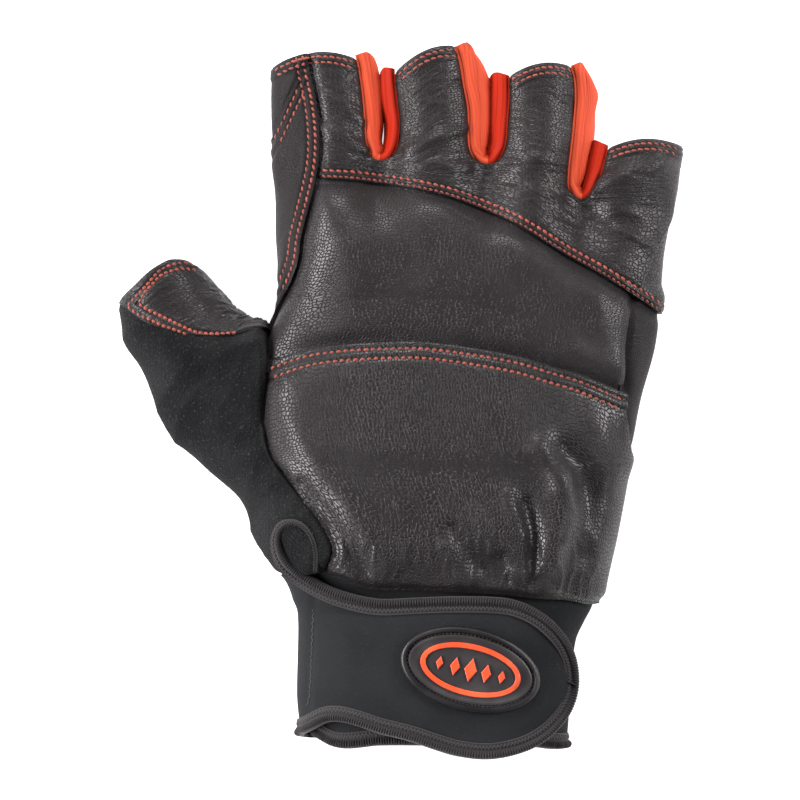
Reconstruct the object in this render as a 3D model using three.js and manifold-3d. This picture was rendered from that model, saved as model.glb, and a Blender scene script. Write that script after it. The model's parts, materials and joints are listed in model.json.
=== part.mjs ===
// Half-finger climbing glove for the left hand, lying palm up on its back.
// Millimetres, +Z up, +Y towards the finger hems, +X towards the little finger.
// The hand is one hollow form. Its wall is cut along the seams into the sewn panels.
import * as THREE from 'three';
import { mergeVertices } from 'three/addons/utils/BufferGeometryUtils.js';
import Module from 'manifold-3d';

const wasm = await Module();
wasm.setup();

// Driving dimensions
const handLength = 146;
const palmWidth = 108;
const palmHeight = 34;
const heelLineY = -53.1;
const panelWall = 2.2;
const seamGap = 0.3;
const neopreneWall = 3;
const cuffLength = 41.6;
const cuffInset = 12;
const cuffFit = 0.6;
const cuffSlit = 5;
const floorLift = 0.8;
const backSeamHeight = 6.6;
const backFlat = 5;
const seamTuck = 7;
const foldRise = 2.4;
const foldReach = 5;
const valleyDepth = 6.5;
const valleyReach = 7.5;
const valleyRun = 24;
const seamDip = 1.1;
const seamReach = 4;
const gapWaist = 0.5;
const gapFoot = 1.6;
const bindingWidth = 4.5;
const bindingSwell = 0.8;
const strapFoot = 3;
const strapEndHeight = 15;
const ventLength = 14.8;
const ventWidth = 11.6;
const ventBinding = 3;
const badgeLength = 37.6;
const badgeWidth = 21.8;
const badgeTurn = -13;
const badgePlate = 1.8;
const badgeRim = 2.6;
const badgeRelief = 1;
const ovalLength = 27;
const ovalWidth = 13.6;
const ovalBand = 1.5;
const diamondCount = 5;
const diamondPitch = 4.2;
const diamondLength = 3.4;
const diamondHeight = 6.4;

// Sections of the hand from the wrist to the finger hems: left, right are shares of
// palmWidth, along is a share of handLength, height is a share of palmHeight
const handSections = [
  { along: -0.02, left: -0.245, right: 0.499, height: 0.912 },
  { along: 0.036, left: -0.275, right: 0.512, height: 0.985 },
  { along: 0.07, left: -0.322, right: 0.522, height: 1.02 },
  { along: 0.109, left: -0.345, right: 0.534, height: 1.055 },
  { along: 0.182, left: -0.362, right: 0.553, height: 1.074 },
  { along: 0.272, left: -0.358, right: 0.575, height: 1.044 },
  { along: 0.363, left: -0.352, right: 0.598, height: 1.0 },
  { along: 0.454, left: -0.335, right: 0.632, height: 0.941 },
  { along: 0.545, left: -0.298, right: 0.649, height: 0.882 },
  { along: 0.635, left: -0.303, right: 0.661, height: 0.824 },
  { along: 0.726, left: -0.306, right: 0.681, height: 0.765 },
  { along: 0.817, left: -0.315, right: 0.696, height: 0.706 },
  { along: 0.908, left: -0.318, right: 0.708, height: 0.632 },
  { along: 1.03, left: -0.312, right: 0.718, height: 0.588 },
];

// Sections of the thumb from inside the hand to past its hem: the upper and the lower end of each
const thumbSections = [
  { step: 0, upX: -0.17, upAlong: 0.38, lowX: -0.2, lowAlong: 0.12, height: 0.72 },
  { step: 1, upX: -0.245, upAlong: 0.436, lowX: -0.285, lowAlong: 0.09, height: 0.75 },
  { step: 2, upX: -0.305, upAlong: 0.463, lowX: -0.357, lowAlong: 0.131, height: 0.77 },
  { step: 3, upX: -0.325, upAlong: 0.5, lowX: -0.401, lowAlong: 0.192, height: 0.77 },
  { step: 4, upX: -0.35, upAlong: 0.504, lowX: -0.49, lowAlong: 0.243, height: 0.75 },
  { step: 5, upX: -0.377, upAlong: 0.514, lowX: -0.558, lowAlong: 0.298, height: 0.72 },
  { step: 6, upX: -0.413, upAlong: 0.53, lowX: -0.602, lowAlong: 0.379, height: 0.69 },
  { step: 7, upX: -0.443, upAlong: 0.555, lowX: -0.642, lowAlong: 0.428, height: 0.66 },
  { step: 8, upX: -0.472, upAlong: 0.581, lowX: -0.691, lowAlong: 0.49, height: 0.63 },
  { step: 9, upX: -0.505, upAlong: 0.66, lowX: -0.71, lowAlong: 0.575, height: 0.61 },
];

// Hems of the four fingers: the crest of each arc and the stretch of x that it spans
const fingerHems = [
  { finger: 'index', from: -0.36, to: -0.045, crestAt: -0.19, crest: 0.995 },
  { finger: 'middle', from: -0.045, to: 0.203, crestAt: 0.12, crest: 1.006 },
  { finger: 'ring', from: 0.203, to: 0.47, crestAt: 0.37, crest: 0.975 },
  { finger: 'little', from: 0.47, to: 0.78, crestAt: 0.61, crest: 0.837 },
];
const hemFall = 0.17;

const thumbHem = [
  { x: -0.47, along: 0.605 },
  { x: -0.5, along: 0.61 },
  { x: -0.539, along: 0.619 },
  { x: -0.571, along: 0.615 },
  { x: -0.602, along: 0.601 },
  { x: -0.642, along: 0.577 },
  { x: -0.674, along: 0.555 },
  { x: -0.7, along: 0.525 },
  { x: -0.78, along: 0.45 },
];

// Gaps between the fingers, from the crotch to the hems: half is half the strip of cloth seen
// between the two leather edges, as a share of palmWidth
const fingerGaps = [
  {
    name: 'fourchette_index_middle',
    rows: [
      { along: 0.817, x: -0.043, half: 0.024 },
      { along: 0.845, x: -0.04, half: 0.035 },
      { along: 0.889, x: -0.041, half: 0.0375 },
      { along: 0.944, x: -0.046, half: 0.0395 },
      { along: 1.06, x: -0.05, half: 0.041 },
    ],
  },
  {
    name: 'fourchette_middle_ring',
    rows: [
      { along: 0.811, x: 0.217, half: 0.024 },
      { along: 0.845, x: 0.218, half: 0.038 },
      { along: 0.889, x: 0.217, half: 0.0442 },
      { along: 0.953, x: 0.204, half: 0.057 },
      { along: 1.06, x: 0.202, half: 0.0601 },
    ],
  },
  {
    name: 'fourchette_ring_pinky',
    rows: [
      { along: 0.748, x: 0.447, half: 0.024 },
      { along: 0.775, x: 0.455, half: 0.031 },
      { along: 0.825, x: 0.468, half: 0.035 },
      { along: 0.908, x: 0.472, half: 0.036 },
      { along: 1.06, x: 0.472, half: 0.036 },
    ],
  },
];

// Cross section of a gap: level is a share of palmHeight, the other columns weigh gapFoot,
// gapWaist and the half of the strip that is seen from the palm side
const gapLevels = [
  { level: -0.06, foot: 1, waist: 0, seen: 0 },
  { level: 0.12, foot: 0, waist: 1.6, seen: 0 },
  { level: 0.3, foot: 0, waist: 1, seen: 0 },
  { level: 0.5, foot: 0, waist: 0.6, seen: 0.65 },
  { level: 1.1, foot: 0, waist: 0, seen: 1.9 },
];

// Seams of the palm side, as shares
const indexSeam = [
  { along: -0.1, x: -0.19 },
  { along: 0.04, x: -0.185 },
  { along: 0.102, x: -0.168 },
  { along: 0.16, x: -0.212 },
  { along: 0.205, x: -0.266 },
  { along: 0.245, x: -0.3 },
  { along: 0.309, x: -0.327 },
  { along: 0.427, x: -0.327 },
  { along: 0.499, x: -0.314 },
  { along: 0.535, x: -0.294 },
  { along: 0.617, x: -0.256 },
  { along: 0.672, x: -0.237 },
  { along: 0.744, x: -0.217 },
  { along: 0.799, x: -0.202 },
  { along: 0.844, x: -0.198 },
  { along: 0.899, x: -0.205 },
  { along: 0.944, x: -0.22 },
  { along: 1.1, x: -0.25 },
];
const thumbSeamTop = 0.5;
const thumbSlotX = -0.34;
const upperSeam = [
  { x: -0.5, along: 0.762 },
  { x: -0.097, along: 0.759 },
  { x: 0.001, along: 0.75 },
  { x: 0.124, along: 0.733 },
  { x: 0.222, along: 0.712 },
  { x: 0.32, along: 0.679 },
  { x: 0.418, along: 0.635 },
  { x: 0.517, along: 0.59 },
  { x: 0.602, along: 0.548 },
  { x: 0.8, along: 0.46 },
];
const lowerSeam = [
  { x: -0.5, along: 0.402 },
  { x: -0.335, along: 0.435 },
  { x: -0.244, along: 0.453 },
  { x: -0.121, along: 0.464 },
  { x: 0.001, along: 0.469 },
  { x: 0.124, along: 0.466 },
  { x: 0.247, along: 0.455 },
  { x: 0.369, along: 0.433 },
  { x: 0.492, along: 0.400 },
  { x: 0.58, along: 0.366 },
  { x: 0.8, along: 0.282 },
];
const outerSeam = [
  { along: -0.1, x: 0.545 },
  { along: 0.2, x: 0.55 },
  { along: 0.363, x: 0.553 },
  { along: 0.457, x: 0.556 },
  { along: 0.535, x: 0.571 },
  { along: 0.6, x: 0.585 },
  { along: 0.85, x: 0.6 },
];
const heelEdge = [
  { x: -0.5, along: 0.05 },
  { x: -0.27, along: 0.036 },
  { x: -0.2, along: 0.045 },
  { x: -0.141, along: 0.033 },
  { x: -0.06, along: 0.018 },
  { x: 0.048, along: 0.016 },
  { x: 0.247, along: 0.009 },
  { x: 0.416, along: -0.002 },
  { x: 0.6, along: -0.009 },
];
const patchEdge = [
  { x: -0.8, along: 0.58 },
  { x: -0.664, along: 0.525 },
  { x: -0.602, along: 0.501 },
  { x: -0.539, along: 0.479 },
  { x: -0.465, along: 0.47 },
  { x: -0.39, along: 0.485 },
  { x: -0.3, along: 0.58 },
];
const gussetEdge = [
  { x: -0.45, along: 0.635 },
  { x: -0.313, along: 0.83 },
  { x: -0.237, along: 0.937 },
  { x: -0.1, along: 1.13 },
];

// Folds and dents: rise is a share of foldRise, reach a share of foldReach
const folds = [
  { fromX: -0.274, fromAlong: 0.292, toX: -0.168, toAlong: 0.198, rise: 1.0, reach: 1.0 },
  { fromX: -0.168, fromAlong: 0.198, toX: -0.055, toAlong: 0.06, rise: 1.0, reach: 1.0 },
  { fromX: -0.295, fromAlong: 0.236, toX: -0.178, toAlong: 0.14, rise: -1.0, reach: 0.8 },
  { fromX: -0.178, fromAlong: 0.14, toX: -0.085, toAlong: 0.05, rise: -0.9, reach: 0.8 },
  { fromX: 0.328, fromAlong: 0.267, toX: 0.384, toAlong: 0.22, rise: 0.7, reach: 0.9 },
  { fromX: 0.384, fromAlong: 0.22, toX: 0.352, toAlong: 0.06, rise: 0.9, reach: 0.9 },
  { fromX: 0.377, fromAlong: 0.275, toX: 0.43, toAlong: 0.218, rise: -0.8, reach: 0.8 },
  { fromX: 0.43, fromAlong: 0.218, toX: 0.416, toAlong: 0.098, rise: -0.9, reach: 0.9 },
  { fromX: 0.266, fromAlong: 0.165, toX: 0.286, toAlong: 0.038, rise: 0.6, reach: 0.8 },
  { fromX: 0.305, fromAlong: 0.2, toX: 0.32, toAlong: 0.09, rise: -0.6, reach: 0.7 },
  { fromX: 0.21, fromAlong: 0.054, toX: 0.212, toAlong: 0.05, rise: -0.5, reach: 1.4 },
  { fromX: 0.492, fromAlong: 0.717, toX: 0.639, toAlong: 0.79, rise: 0.5, reach: 0.9 },
  { fromX: 0.5, fromAlong: 0.69, toX: 0.66, toAlong: 0.71, rise: -0.5, reach: 0.9 },
  { fromX: -0.25, fromAlong: 0.66, toX: 0.1, toAlong: 0.6, rise: 0.35, reach: 3.0 },
  { fromX: -0.4, fromAlong: 0.4, toX: -0.52, toAlong: 0.36, rise: -0.5, reach: 1.0 },
  { fromX: -0.36, fromAlong: 0.27, toX: -0.47, toAlong: 0.29, rise: -0.5, reach: 1.0 },
];

// Cuff below the heel: inward steps from the section at the heel, as shares of palmWidth,
// the height as a share of the height there, down as a share of cuffLength
const cuffSections = [
  { down: 0, leftIn: 0.005, rightIn: 0, height: 1.0, lift: 1 },
  { down: 0.06, leftIn: 0.016, rightIn: 0.008, height: 1.0, lift: 0.85 },
  { down: 0.127, leftIn: 0.019, rightIn: 0.022, height: 1.0, lift: 0.6 },
  { down: 0.255, leftIn: 0.02, rightIn: 0.044, height: 0.99, lift: 0 },
  { down: 0.51, leftIn: 0.02, rightIn: 0.056, height: 0.97, lift: 0 },
  { down: 0.764, leftIn: 0.02, rightIn: 0.062, height: 0.95, lift: 0 },
  { down: 1.0, leftIn: 0.024, rightIn: 0.07, height: 0.93, lift: 0 },
];
const cuffEdge = [
  { x: -0.4, down: 0.84 },
  { x: -0.215, down: 0.87 },
  { x: -0.15, down: 0.94 },
  { x: -0.05, down: 0.92 },
  { x: 0.1, down: 0.92 },
  { x: 0.3, down: 0.92 },
  { x: 0.39, down: 0.95 },
  { x: 0.6, down: 0.93 },
];

// Outline of the strap on the palm side, from its upper left round its free end to its lower left
const strapOutline = [
  { x: -0.42, down: -0.1 },
  { x: -0.27, down: -0.1 },
  { x: -0.195, down: -0.1 },
  { x: -0.146, down: -0.057 },
  { x: -0.048, down: -0.02 },
  { x: 0.075, down: -0.025 },
  { x: 0.222, down: -0.02 },
  { x: 0.32, down: 0.02 },
  { x: 0.394, down: 0.159 },
  { x: 0.433, down: 0.35 },
  { x: 0.44, down: 0.573 },
  { x: 0.409, down: 0.777 },
  { x: 0.345, down: 0.917 },
  { x: 0.259, down: 1.0 },
  { x: 0.148, down: 1.0 },
  { x: 0.05, down: 0.917 },
  { x: -0.048, down: 0.847 },
  { x: -0.134, down: 0.796 },
  { x: -0.207, down: 0.83 },
  { x: -0.27, down: 0.86 },
  { x: -0.42, down: 0.87 },
];
const badgeAt = { x: 0.173, down: 0.433 };
const ventAt = { x: -0.257, along: 0.093 };

// Shape of one cross section
const sideRound = 0.76;
const crownRound = 0.84;
const soleRound = 0.8;
const waistShare = 0.4;
const flankShare = 0.4;

// Fineness of the mesh
const outerFine = { crown: 22, sole: 8, rings: 28 };
const innerFine = { crown: 14, sole: 6, rings: 18 };
const cuffFine = { crown: 16, sole: 6, rings: 6 };
const thumbFine = { crown: 10, sole: 6, rings: 10 };
const seamSteps = 14;
const gapSteps = 5;
const ovalSteps = 20;
const far = 400;

const alongY = (along) => heelLineY + along * handLength;
const downY = (down) => heelLineY - down * cuffLength;
const flatPoint = (x, y) => new THREE.Vector2(x, y);

// Smooth value of one column of a table, at a place given in its key column
function columnAt(rows, key, column, place) {
  const last = rows.length - 1;
  if (place <= rows[0][key]) return rows[0][column];
  if (place >= rows[last][key]) return rows[last][column];
  let row = 0;
  while (rows[row + 1][key] < place) row += 1;
  const slope = (from, to) => (rows[to][column] - rows[from][column]) / (rows[to][key] - rows[from][key]);
  const span = rows[row + 1][key] - rows[row][key];
  const startSlope = slope(Math.max(row - 1, 0), row + 1);
  const endSlope = slope(row, Math.min(row + 2, last));
  const t = (place - rows[row][key]) / span;
  const rise = rows[row + 1][column] - rows[row][column];
  const bend = t * (1 - t) * span;
  const ease = t * t * (3 - 2 * t);
  return rows[row][column] + rise * ease + bend * ((1 - t) * startSlope - t * endSlope);
}

function easeBetween(low, high, value) {
  const t = Math.min(Math.max((value - low) / (high - low), 0), 1);
  return t * t * (3 - 2 * t);
}

// Angles round a section: finer over the crown than under the sole
function turnsAround(fine) {
  const turns = [];
  for (let i = 0; i < fine.crown; i += 1) turns.push((Math.PI * i) / fine.crown);
  for (let i = 0; i < fine.sole; i += 1) turns.push(Math.PI + (Math.PI * i) / fine.sole);
  return turns;
}

// Point of an oval lying on its flattened sole, pulled in by inset: across and up
function ovalPoint(oval, turn, inset) {
  const cos = Math.cos(turn);
  const sin = Math.sin(turn);
  const waist = oval.bottom + (oval.top - oval.bottom) * waistShare;
  const half = (oval.right - oval.left) / 2 - inset;
  const across = (oval.left + oval.right) / 2 + Math.sign(cos) * half * Math.abs(cos) ** sideRound;
  if (sin >= 0) {
    return { across, up: waist + (oval.top - inset - waist) * sin ** crownRound };
  }
  const drop = (waist - oval.bottom - inset + backFlat) * Math.abs(sin) ** soleRound;
  return { across, up: Math.max(waist - drop, oval.bottom + inset) };
}

// Closed surface through rings of equal length, with flat ends
function loft(rings) {
  const count = rings[0].points.length;
  const places = [];
  const faces = [];
  for (const ring of rings) {
    for (const point of ring.points) places.push(point.x, point.y, point.z);
  }
  for (let ring = 0; ring < rings.length - 1; ring += 1) {
    for (let i = 0; i < count; i += 1) {
      const next = (i + 1) % count;
      const a = ring * count + i;
      const b = ring * count + next;
      const c = a + count;
      const d = b + count;
      faces.push(a, b, d, a, d, c);
    }
  }
  const last = (rings.length - 1) * count;
  for (const [i, j, k] of THREE.ShapeUtils.triangulateShape(rings[0].outline, [])) {
    faces.push(k, j, i);
  }
  for (const [i, j, k] of THREE.ShapeUtils.triangulateShape(rings[rings.length - 1].outline, [])) {
    faces.push(last + i, last + j, last + k);
  }
  const geometry = new THREE.BufferGeometry();
  geometry.setAttribute('position', new THREE.Float32BufferAttribute(places, 3));
  geometry.setIndex(faces);
  return solidOf(geometry);
}

// Solid for joining and cutting, with its faces pointing out
function solidOf(source) {
  const loose = source.clone();
  loose.deleteAttribute('normal');
  loose.deleteAttribute('uv');
  const geometry = mergeVertices(loose, 1e-4);
  const places = geometry.getAttribute('position').array;
  const faces = Array.from(geometry.getIndex().array);
  let volume = 0;
  const corner = (index) => new THREE.Vector3().fromArray(places, faces[index] * 3);
  for (let i = 0; i < faces.length; i += 3) {
    volume += corner(i).dot(corner(i + 1).cross(corner(i + 2)));
  }
  if (volume < 0) {
    for (let i = 0; i < faces.length; i += 3) [faces[i], faces[i + 1]] = [faces[i + 1], faces[i]];
  }
  const mesh = new wasm.Mesh({
    numProp: 3,
    vertProperties: new Float32Array(places),
    triVerts: new Uint32Array(faces),
  });
  return new wasm.Manifold(mesh);
}

// Upright prism over an outline
function prism(points, low = -far, high = far) {
  const shape = new THREE.Shape(points);
  const geometry = new THREE.ExtrudeGeometry(shape, { depth: high - low, bevelEnabled: false });
  geometry.translate(0, 0, low);
  return solidOf(geometry);
}

function slab(low, high) {
  return prism([flatPoint(-far, -far), flatPoint(far, -far), flatPoint(far, far), flatPoint(-far, far)], low, high);
}

// Points of a seam that runs across the hand, from small x to large x
function crossLine(rows, key, toY, shift) {
  const points = [];
  const first = rows[0].x;
  const last = rows[rows.length - 1].x;
  for (let i = 0; i <= seamSteps; i += 1) {
    const x = first + ((last - first) * i) / seamSteps;
    points.push(flatPoint(x * palmWidth, toY(columnAt(rows, 'x', key, x)) + shift));
  }
  return points;
}

const alongLine = (rows, shift) => crossLine(rows, 'along', alongY, shift);

// All that lies above or below a seam that runs across the hand
function above(points) {
  return prism([...points, flatPoint(far, points[points.length - 1].y), flatPoint(far, far),
    flatPoint(-far, far), flatPoint(-far, points[0].y)]);
}

function below(points) {
  return prism([...points, flatPoint(far, points[points.length - 1].y), flatPoint(far, -far),
    flatPoint(-far, -far), flatPoint(-far, points[0].y)]);
}

// Points of a seam that runs along the hand, from the wrist up
function lengthLine(rows, from, to, shift) {
  const points = [];
  for (let i = 0; i <= seamSteps; i += 1) {
    const along = from + ((to - from) * i) / seamSteps;
    points.push(flatPoint(columnAt(rows, 'along', 'x', along) * palmWidth + shift, alongY(along)));
  }
  return points;
}

function leftOf(points) {
  return prism([...points, flatPoint(-far, points[points.length - 1].y), flatPoint(-far, points[0].y)]);
}

// Height added to the crown by folds, finger valleys and sewn-down seams
function reliefAt(x, y) {
  const along = (y - heelLineY) / handLength;
  let rise = 0;
  for (const fold of folds) {
    const start = flatPoint(fold.fromX * palmWidth, alongY(fold.fromAlong));
    const run = flatPoint(fold.toX * palmWidth, alongY(fold.toAlong)).sub(start);
    const spot = flatPoint(x, y).sub(start);
    const share = Math.min(Math.max(spot.dot(run) / run.lengthSq(), 0), 1);
    const distance = spot.sub(run.multiplyScalar(share)).length();
    rise += fold.rise * foldRise * Math.exp(-((distance / (fold.reach * foldReach)) ** 2));
  }
  for (const gap of fingerGaps) {
    const crotch = alongY(gap.rows[0].along);
    const deepening = easeBetween(crotch - valleyRun, crotch, y);
    const centre = columnAt(gap.rows, 'along', 'x', along) * palmWidth;
    rise -= valleyDepth * deepening * Math.exp(-(((x - centre) / valleyReach) ** 2));
  }
  const share = x / palmWidth;
  for (const seam of [upperSeam, lowerSeam]) {
    const distance = y - alongY(columnAt(seam, 'x', 'along', share));
    rise -= seamDip * Math.exp(-((distance / seamReach) ** 2));
  }
  return rise * easeBetween(heelLineY, heelLineY + cuffInset, y);
}

function handOval(along) {
  return {
    left: columnAt(handSections, 'along', 'left', along) * palmWidth,
    right: columnAt(handSections, 'along', 'right', along) * palmWidth,
    bottom: 0,
    top: columnAt(handSections, 'along', 'height', along) * palmHeight,
  };
}

// Hand form without thumb, pulled in by inset
function handForm(fine, inset) {
  const rings = [];
  const first = handSections[0].along;
  const last = handSections[handSections.length - 1].along;
  for (let i = 0; i <= fine.rings; i += 1) {
    const along = first + ((last - first) * i) / fine.rings;
    const oval = handOval(along);
    const points = [];
    const outline = [];
    for (const turn of turnsAround(fine)) {
      const { across, up } = ovalPoint(oval, turn, inset);
      const weight = easeBetween(0, 0.6, Math.sin(turn));
      const point = new THREE.Vector3(across, alongY(along), up);
      point.z += weight * reliefAt(point.x, point.y);
      points.push(point);
      outline.push(flatPoint(point.x, point.z));
    }
    rings.push({ points, outline });
  }
  return loft(rings);
}

// Thumb form from inside the hand to past its hem, pulled in by inset
function thumbForm(fine, inset) {
  const rings = [];
  const lastStep = thumbSections[thumbSections.length - 1].step;
  for (let i = 0; i <= fine.rings; i += 1) {
    const step = (lastStep * i) / fine.rings;
    const value = (column) => columnAt(thumbSections, 'step', column, step);
    const upper = flatPoint(value('upX') * palmWidth, alongY(value('upAlong')));
    const lower = flatPoint(value('lowX') * palmWidth, alongY(value('lowAlong')));
    const centre = upper.clone().add(lower).multiplyScalar(0.5);
    const half = upper.distanceTo(lower) / 2;
    const aim = upper.clone().sub(lower).normalize();
    const oval = { left: -half, right: half, bottom: 0, top: value('height') * palmHeight };
    const points = [];
    const outline = [];
    for (const turn of turnsAround(fine)) {
      const { across, up } = ovalPoint(oval, turn, inset);
      const place = centre.clone().addScaledVector(aim, across);
      const weight = easeBetween(0, 0.6, Math.sin(turn));
      points.push(new THREE.Vector3(place.x, place.y, up + weight * reliefAt(place.x, place.y)));
      outline.push(flatPoint(across, up));
    }
    rings.push({ points, outline });
  }
  return loft(rings);
}

// Space between two fingers, grown to each side and towards the palm
function gapForm(gap, grow) {
  const rings = [];
  const first = gap.rows[0].along;
  const last = gap.rows[gap.rows.length - 1].along;
  const levels = gapLevels.map((row) => row.level * palmHeight);
  const addRing = (along, before, aside) => {
    const y = alongY(along) - before;
    const centre = columnAt(gap.rows, 'along', 'x', along) * palmWidth;
    const seen = columnAt(gap.rows, 'along', 'half', along) * palmWidth - panelWall;
    const halves = gapLevels.map((row) => row.waist * gapWaist + row.foot * gapFoot + row.seen * seen + aside);
    const points = [];
    const outline = [];
    const put = (x, z) => {
      points.push(new THREE.Vector3(x, y, z));
      outline.push(flatPoint(x, z));
    };
    levels.forEach((level, row) => put(centre + halves[row], level));
    for (let row = levels.length - 1; row >= 0; row -= 1) put(centre - halves[row], levels[row]);
    rings.push({ points, outline });
  };
  if (grow > 0) {
    addRing(first, grow, grow * 0.35);
    addRing(first, grow * 0.5, grow * 0.85);
  }
  for (let i = 0; i <= gapSteps; i += 1) addRing(first + ((last - first) * i) / gapSteps, 0, grow);
  return loft(rings);
}

// Outline of the whole glove above the wrist: heel edge, finger hems and thumb hem
function handOutline(grow) {
  const points = alongLine(heelEdge, -grow);
  points.push(flatPoint(palmWidth, alongY(heelEdge[heelEdge.length - 1].along)));
  const steps = 6;
  for (const hem of [...fingerHems].reverse()) {
    for (let i = 0; i <= steps; i += 1) {
      const x = hem.to - ((hem.to - hem.from) * i) / steps;
      const fall = hemFall * ((x - hem.crestAt) / (hem.to - hem.from)) ** 2;
      points.push(flatPoint(x * palmWidth, alongY(hem.crest - fall)));
    }
  }
  points.push(flatPoint(-0.36 * palmWidth, alongY(0.64)));
  for (const row of thumbHem) points.push(flatPoint(row.x * palmWidth, alongY(row.along)));
  points.push(flatPoint(-palmWidth, alongY(0.2)));
  points.push(flatPoint(-palmWidth, alongY(heelEdge[0].along)));
  return prism(points);
}

// Oval of the cuff at a place down from the heel line; above it, it fits inside the heel
function cuffOval(y) {
  const fit = panelWall + cuffFit;
  const down = Math.max((heelLineY - y) / cuffLength, 0);
  const oval = handOval(Math.max((y - heelLineY) / handLength, 0));
  const value = (column) => columnAt(cuffSections, 'down', column, down);
  return {
    left: oval.left + fit + value('leftIn') * palmWidth,
    right: oval.right - fit - value('rightIn') * palmWidth,
    bottom: floorLift + (fit - floorLift) * value('lift'),
    top: (oval.top - fit) * value('height'),
  };
}

// Cuff form with its surface moved out by grow
function cuffForm(grow, top, bottom) {
  const rings = [];
  for (let i = 0; i <= cuffFine.rings; i += 1) {
    const y = bottom + ((top - bottom) * i) / cuffFine.rings;
    const oval = cuffOval(y);
    const points = [];
    const outline = [];
    for (const turn of turnsAround(cuffFine)) {
      const { across, up } = ovalPoint(oval, turn, -grow);
      points.push(new THREE.Vector3(across, y, up));
      outline.push(flatPoint(across, up));
    }
    rings.push({ points, outline });
  }
  return loft(rings);
}

// Layer that lies on the cuff, between two distances from it
function cuffLayer(near, distant) {
  const top = heelLineY + cuffInset;
  const bottom = downY(1.1);
  return cuffForm(distant, top, bottom).subtract(cuffForm(near, top + 1, bottom - 1));
}

// Outline moved inwards by a distance, for outlines that run clockwise
function pulledIn(points, distance) {
  return points.map((point, i) => {
    const before = points[(i + points.length - 1) % points.length];
    const after = points[(i + 1) % points.length];
    const run = after.clone().sub(before).normalize();
    return flatPoint(point.x + run.y * distance, point.y - run.x * distance);
  });
}

// Smooth closed outline through the rows of a table
function smoothOutline(rows) {
  return rows.map((row) => flatPoint(row.x * palmWidth, downY(row.down)));
}

function ellipse(centre, length, width, turnDegrees, steps) {
  const points = [];
  const tilt = THREE.MathUtils.degToRad(turnDegrees);
  for (let i = 0; i < steps; i += 1) {
    const turn = (2 * Math.PI * i) / steps;
    const spot = flatPoint((Math.cos(turn) * length) / 2, (Math.sin(turn) * width) / 2);
    points.push(spot.rotateAround(flatPoint(0, 0), tilt).add(centre));
  }
  return points;
}

const group = new THREE.Group();

function addMesh(name, solid, colour, roughness) {
  const mesh = solid.getMesh();
  const geometry = new THREE.BufferGeometry();
  const places = new Float32Array((mesh.vertProperties.length / mesh.numProp) * 3);
  for (let i = 0; i < places.length / 3; i += 1) {
    for (let axis = 0; axis < 3; axis += 1) {
      places[i * 3 + axis] = mesh.vertProperties[i * mesh.numProp + axis];
    }
  }
  geometry.setAttribute('position', new THREE.BufferAttribute(places, 3));
  geometry.setIndex(Array.from(mesh.triVerts));
  geometry.computeVertexNormals();
  const material = new THREE.MeshStandardMaterial({ color: colour, roughness, metalness: 0 });
  const part = new THREE.Mesh(geometry, material);
  part.name = name;
  group.add(part);
}

// Hand shell: outer form less the hollow, open at the wrist, the fingers and the thumb
const outline = handOutline(0);
let outerForm = handForm(outerFine, 0).add(thumbForm(thumbFine, 0));
for (const gap of fingerGaps) outerForm = outerForm.subtract(gapForm(gap, 0));
outerForm = outerForm.intersect(outline);
let hollow = handForm(innerFine, panelWall).add(thumbForm(thumbFine, panelWall));
for (const gap of fingerGaps) hollow = hollow.subtract(gapForm(gap, panelWall));
let shell = outerForm.subtract(hollow);

// Keyhole vent and its bound edge
const ventCentre = flatPoint(ventAt.x * palmWidth, alongY(ventAt.along));
const ventSeatHeight = palmHeight * 0.4;
const ventHole = prism(
  ellipse(ventCentre, ventWidth - 2 * ventBinding, ventLength - 2 * ventBinding, 0, ovalSteps),
  ventSeatHeight,
);
const ventRing = prism(ellipse(ventCentre, ventWidth, ventLength, 0, ovalSteps), ventSeatHeight).subtract(ventHole);
const ventSeat = prism(
  ellipse(ventCentre, ventWidth + 2 * seamGap, ventLength + 2 * seamGap, 0, ovalSteps),
  ventSeatHeight - seamGap,
);
const swollenForm = handForm(outerFine, -bindingSwell).add(thumbForm(thumbFine, -bindingSwell));
const ventSolid = swollenForm.subtract(hollow).intersect(ventRing).intersect(handOutline(0));
shell = shell.subtract(ventSeat);

const leather = 0x3f3a3a;
const pieces = {};

function takeFrom(name, region, grownRegion) {
  const piece = shell.intersect(region);
  pieces[name] = pieces[name] ? pieces[name].add(piece) : piece;
  shell = shell.subtract(grownRegion);
}

// Thumb, first all of it, then its leather patch
function thumbSide(shift, tuck) {
  const seam = lengthLine(indexSeam, indexSeam[0].along, thumbSeamTop, shift + tuck);
  const slotX = thumbSlotX * palmWidth + shift;
  return leftOf([...seam, flatPoint(slotX, alongY(0.55)), flatPoint(slotX, alongY(0.8))]);
}
const flankHeight = flankShare * palmHeight;
const tucked = (side, shift) => side(shift, 0).add(side(shift, seamTuck).intersect(slab(-far, flankHeight + shift)));
takeFrom('thumb_panel', tucked(thumbSide, 0), tucked(thumbSide, seamGap));
const patchRegion = above(alongLine(patchEdge, 0)).intersect(slab(backSeamHeight, far));
const patchSeat = above(alongLine(patchEdge, -seamGap)).intersect(slab(backSeamHeight - seamGap, far));
pieces.thumb_patch = pieces.thumb_panel.intersect(patchRegion);
pieces.thumb_panel = pieces.thumb_panel.subtract(patchSeat);

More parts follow.
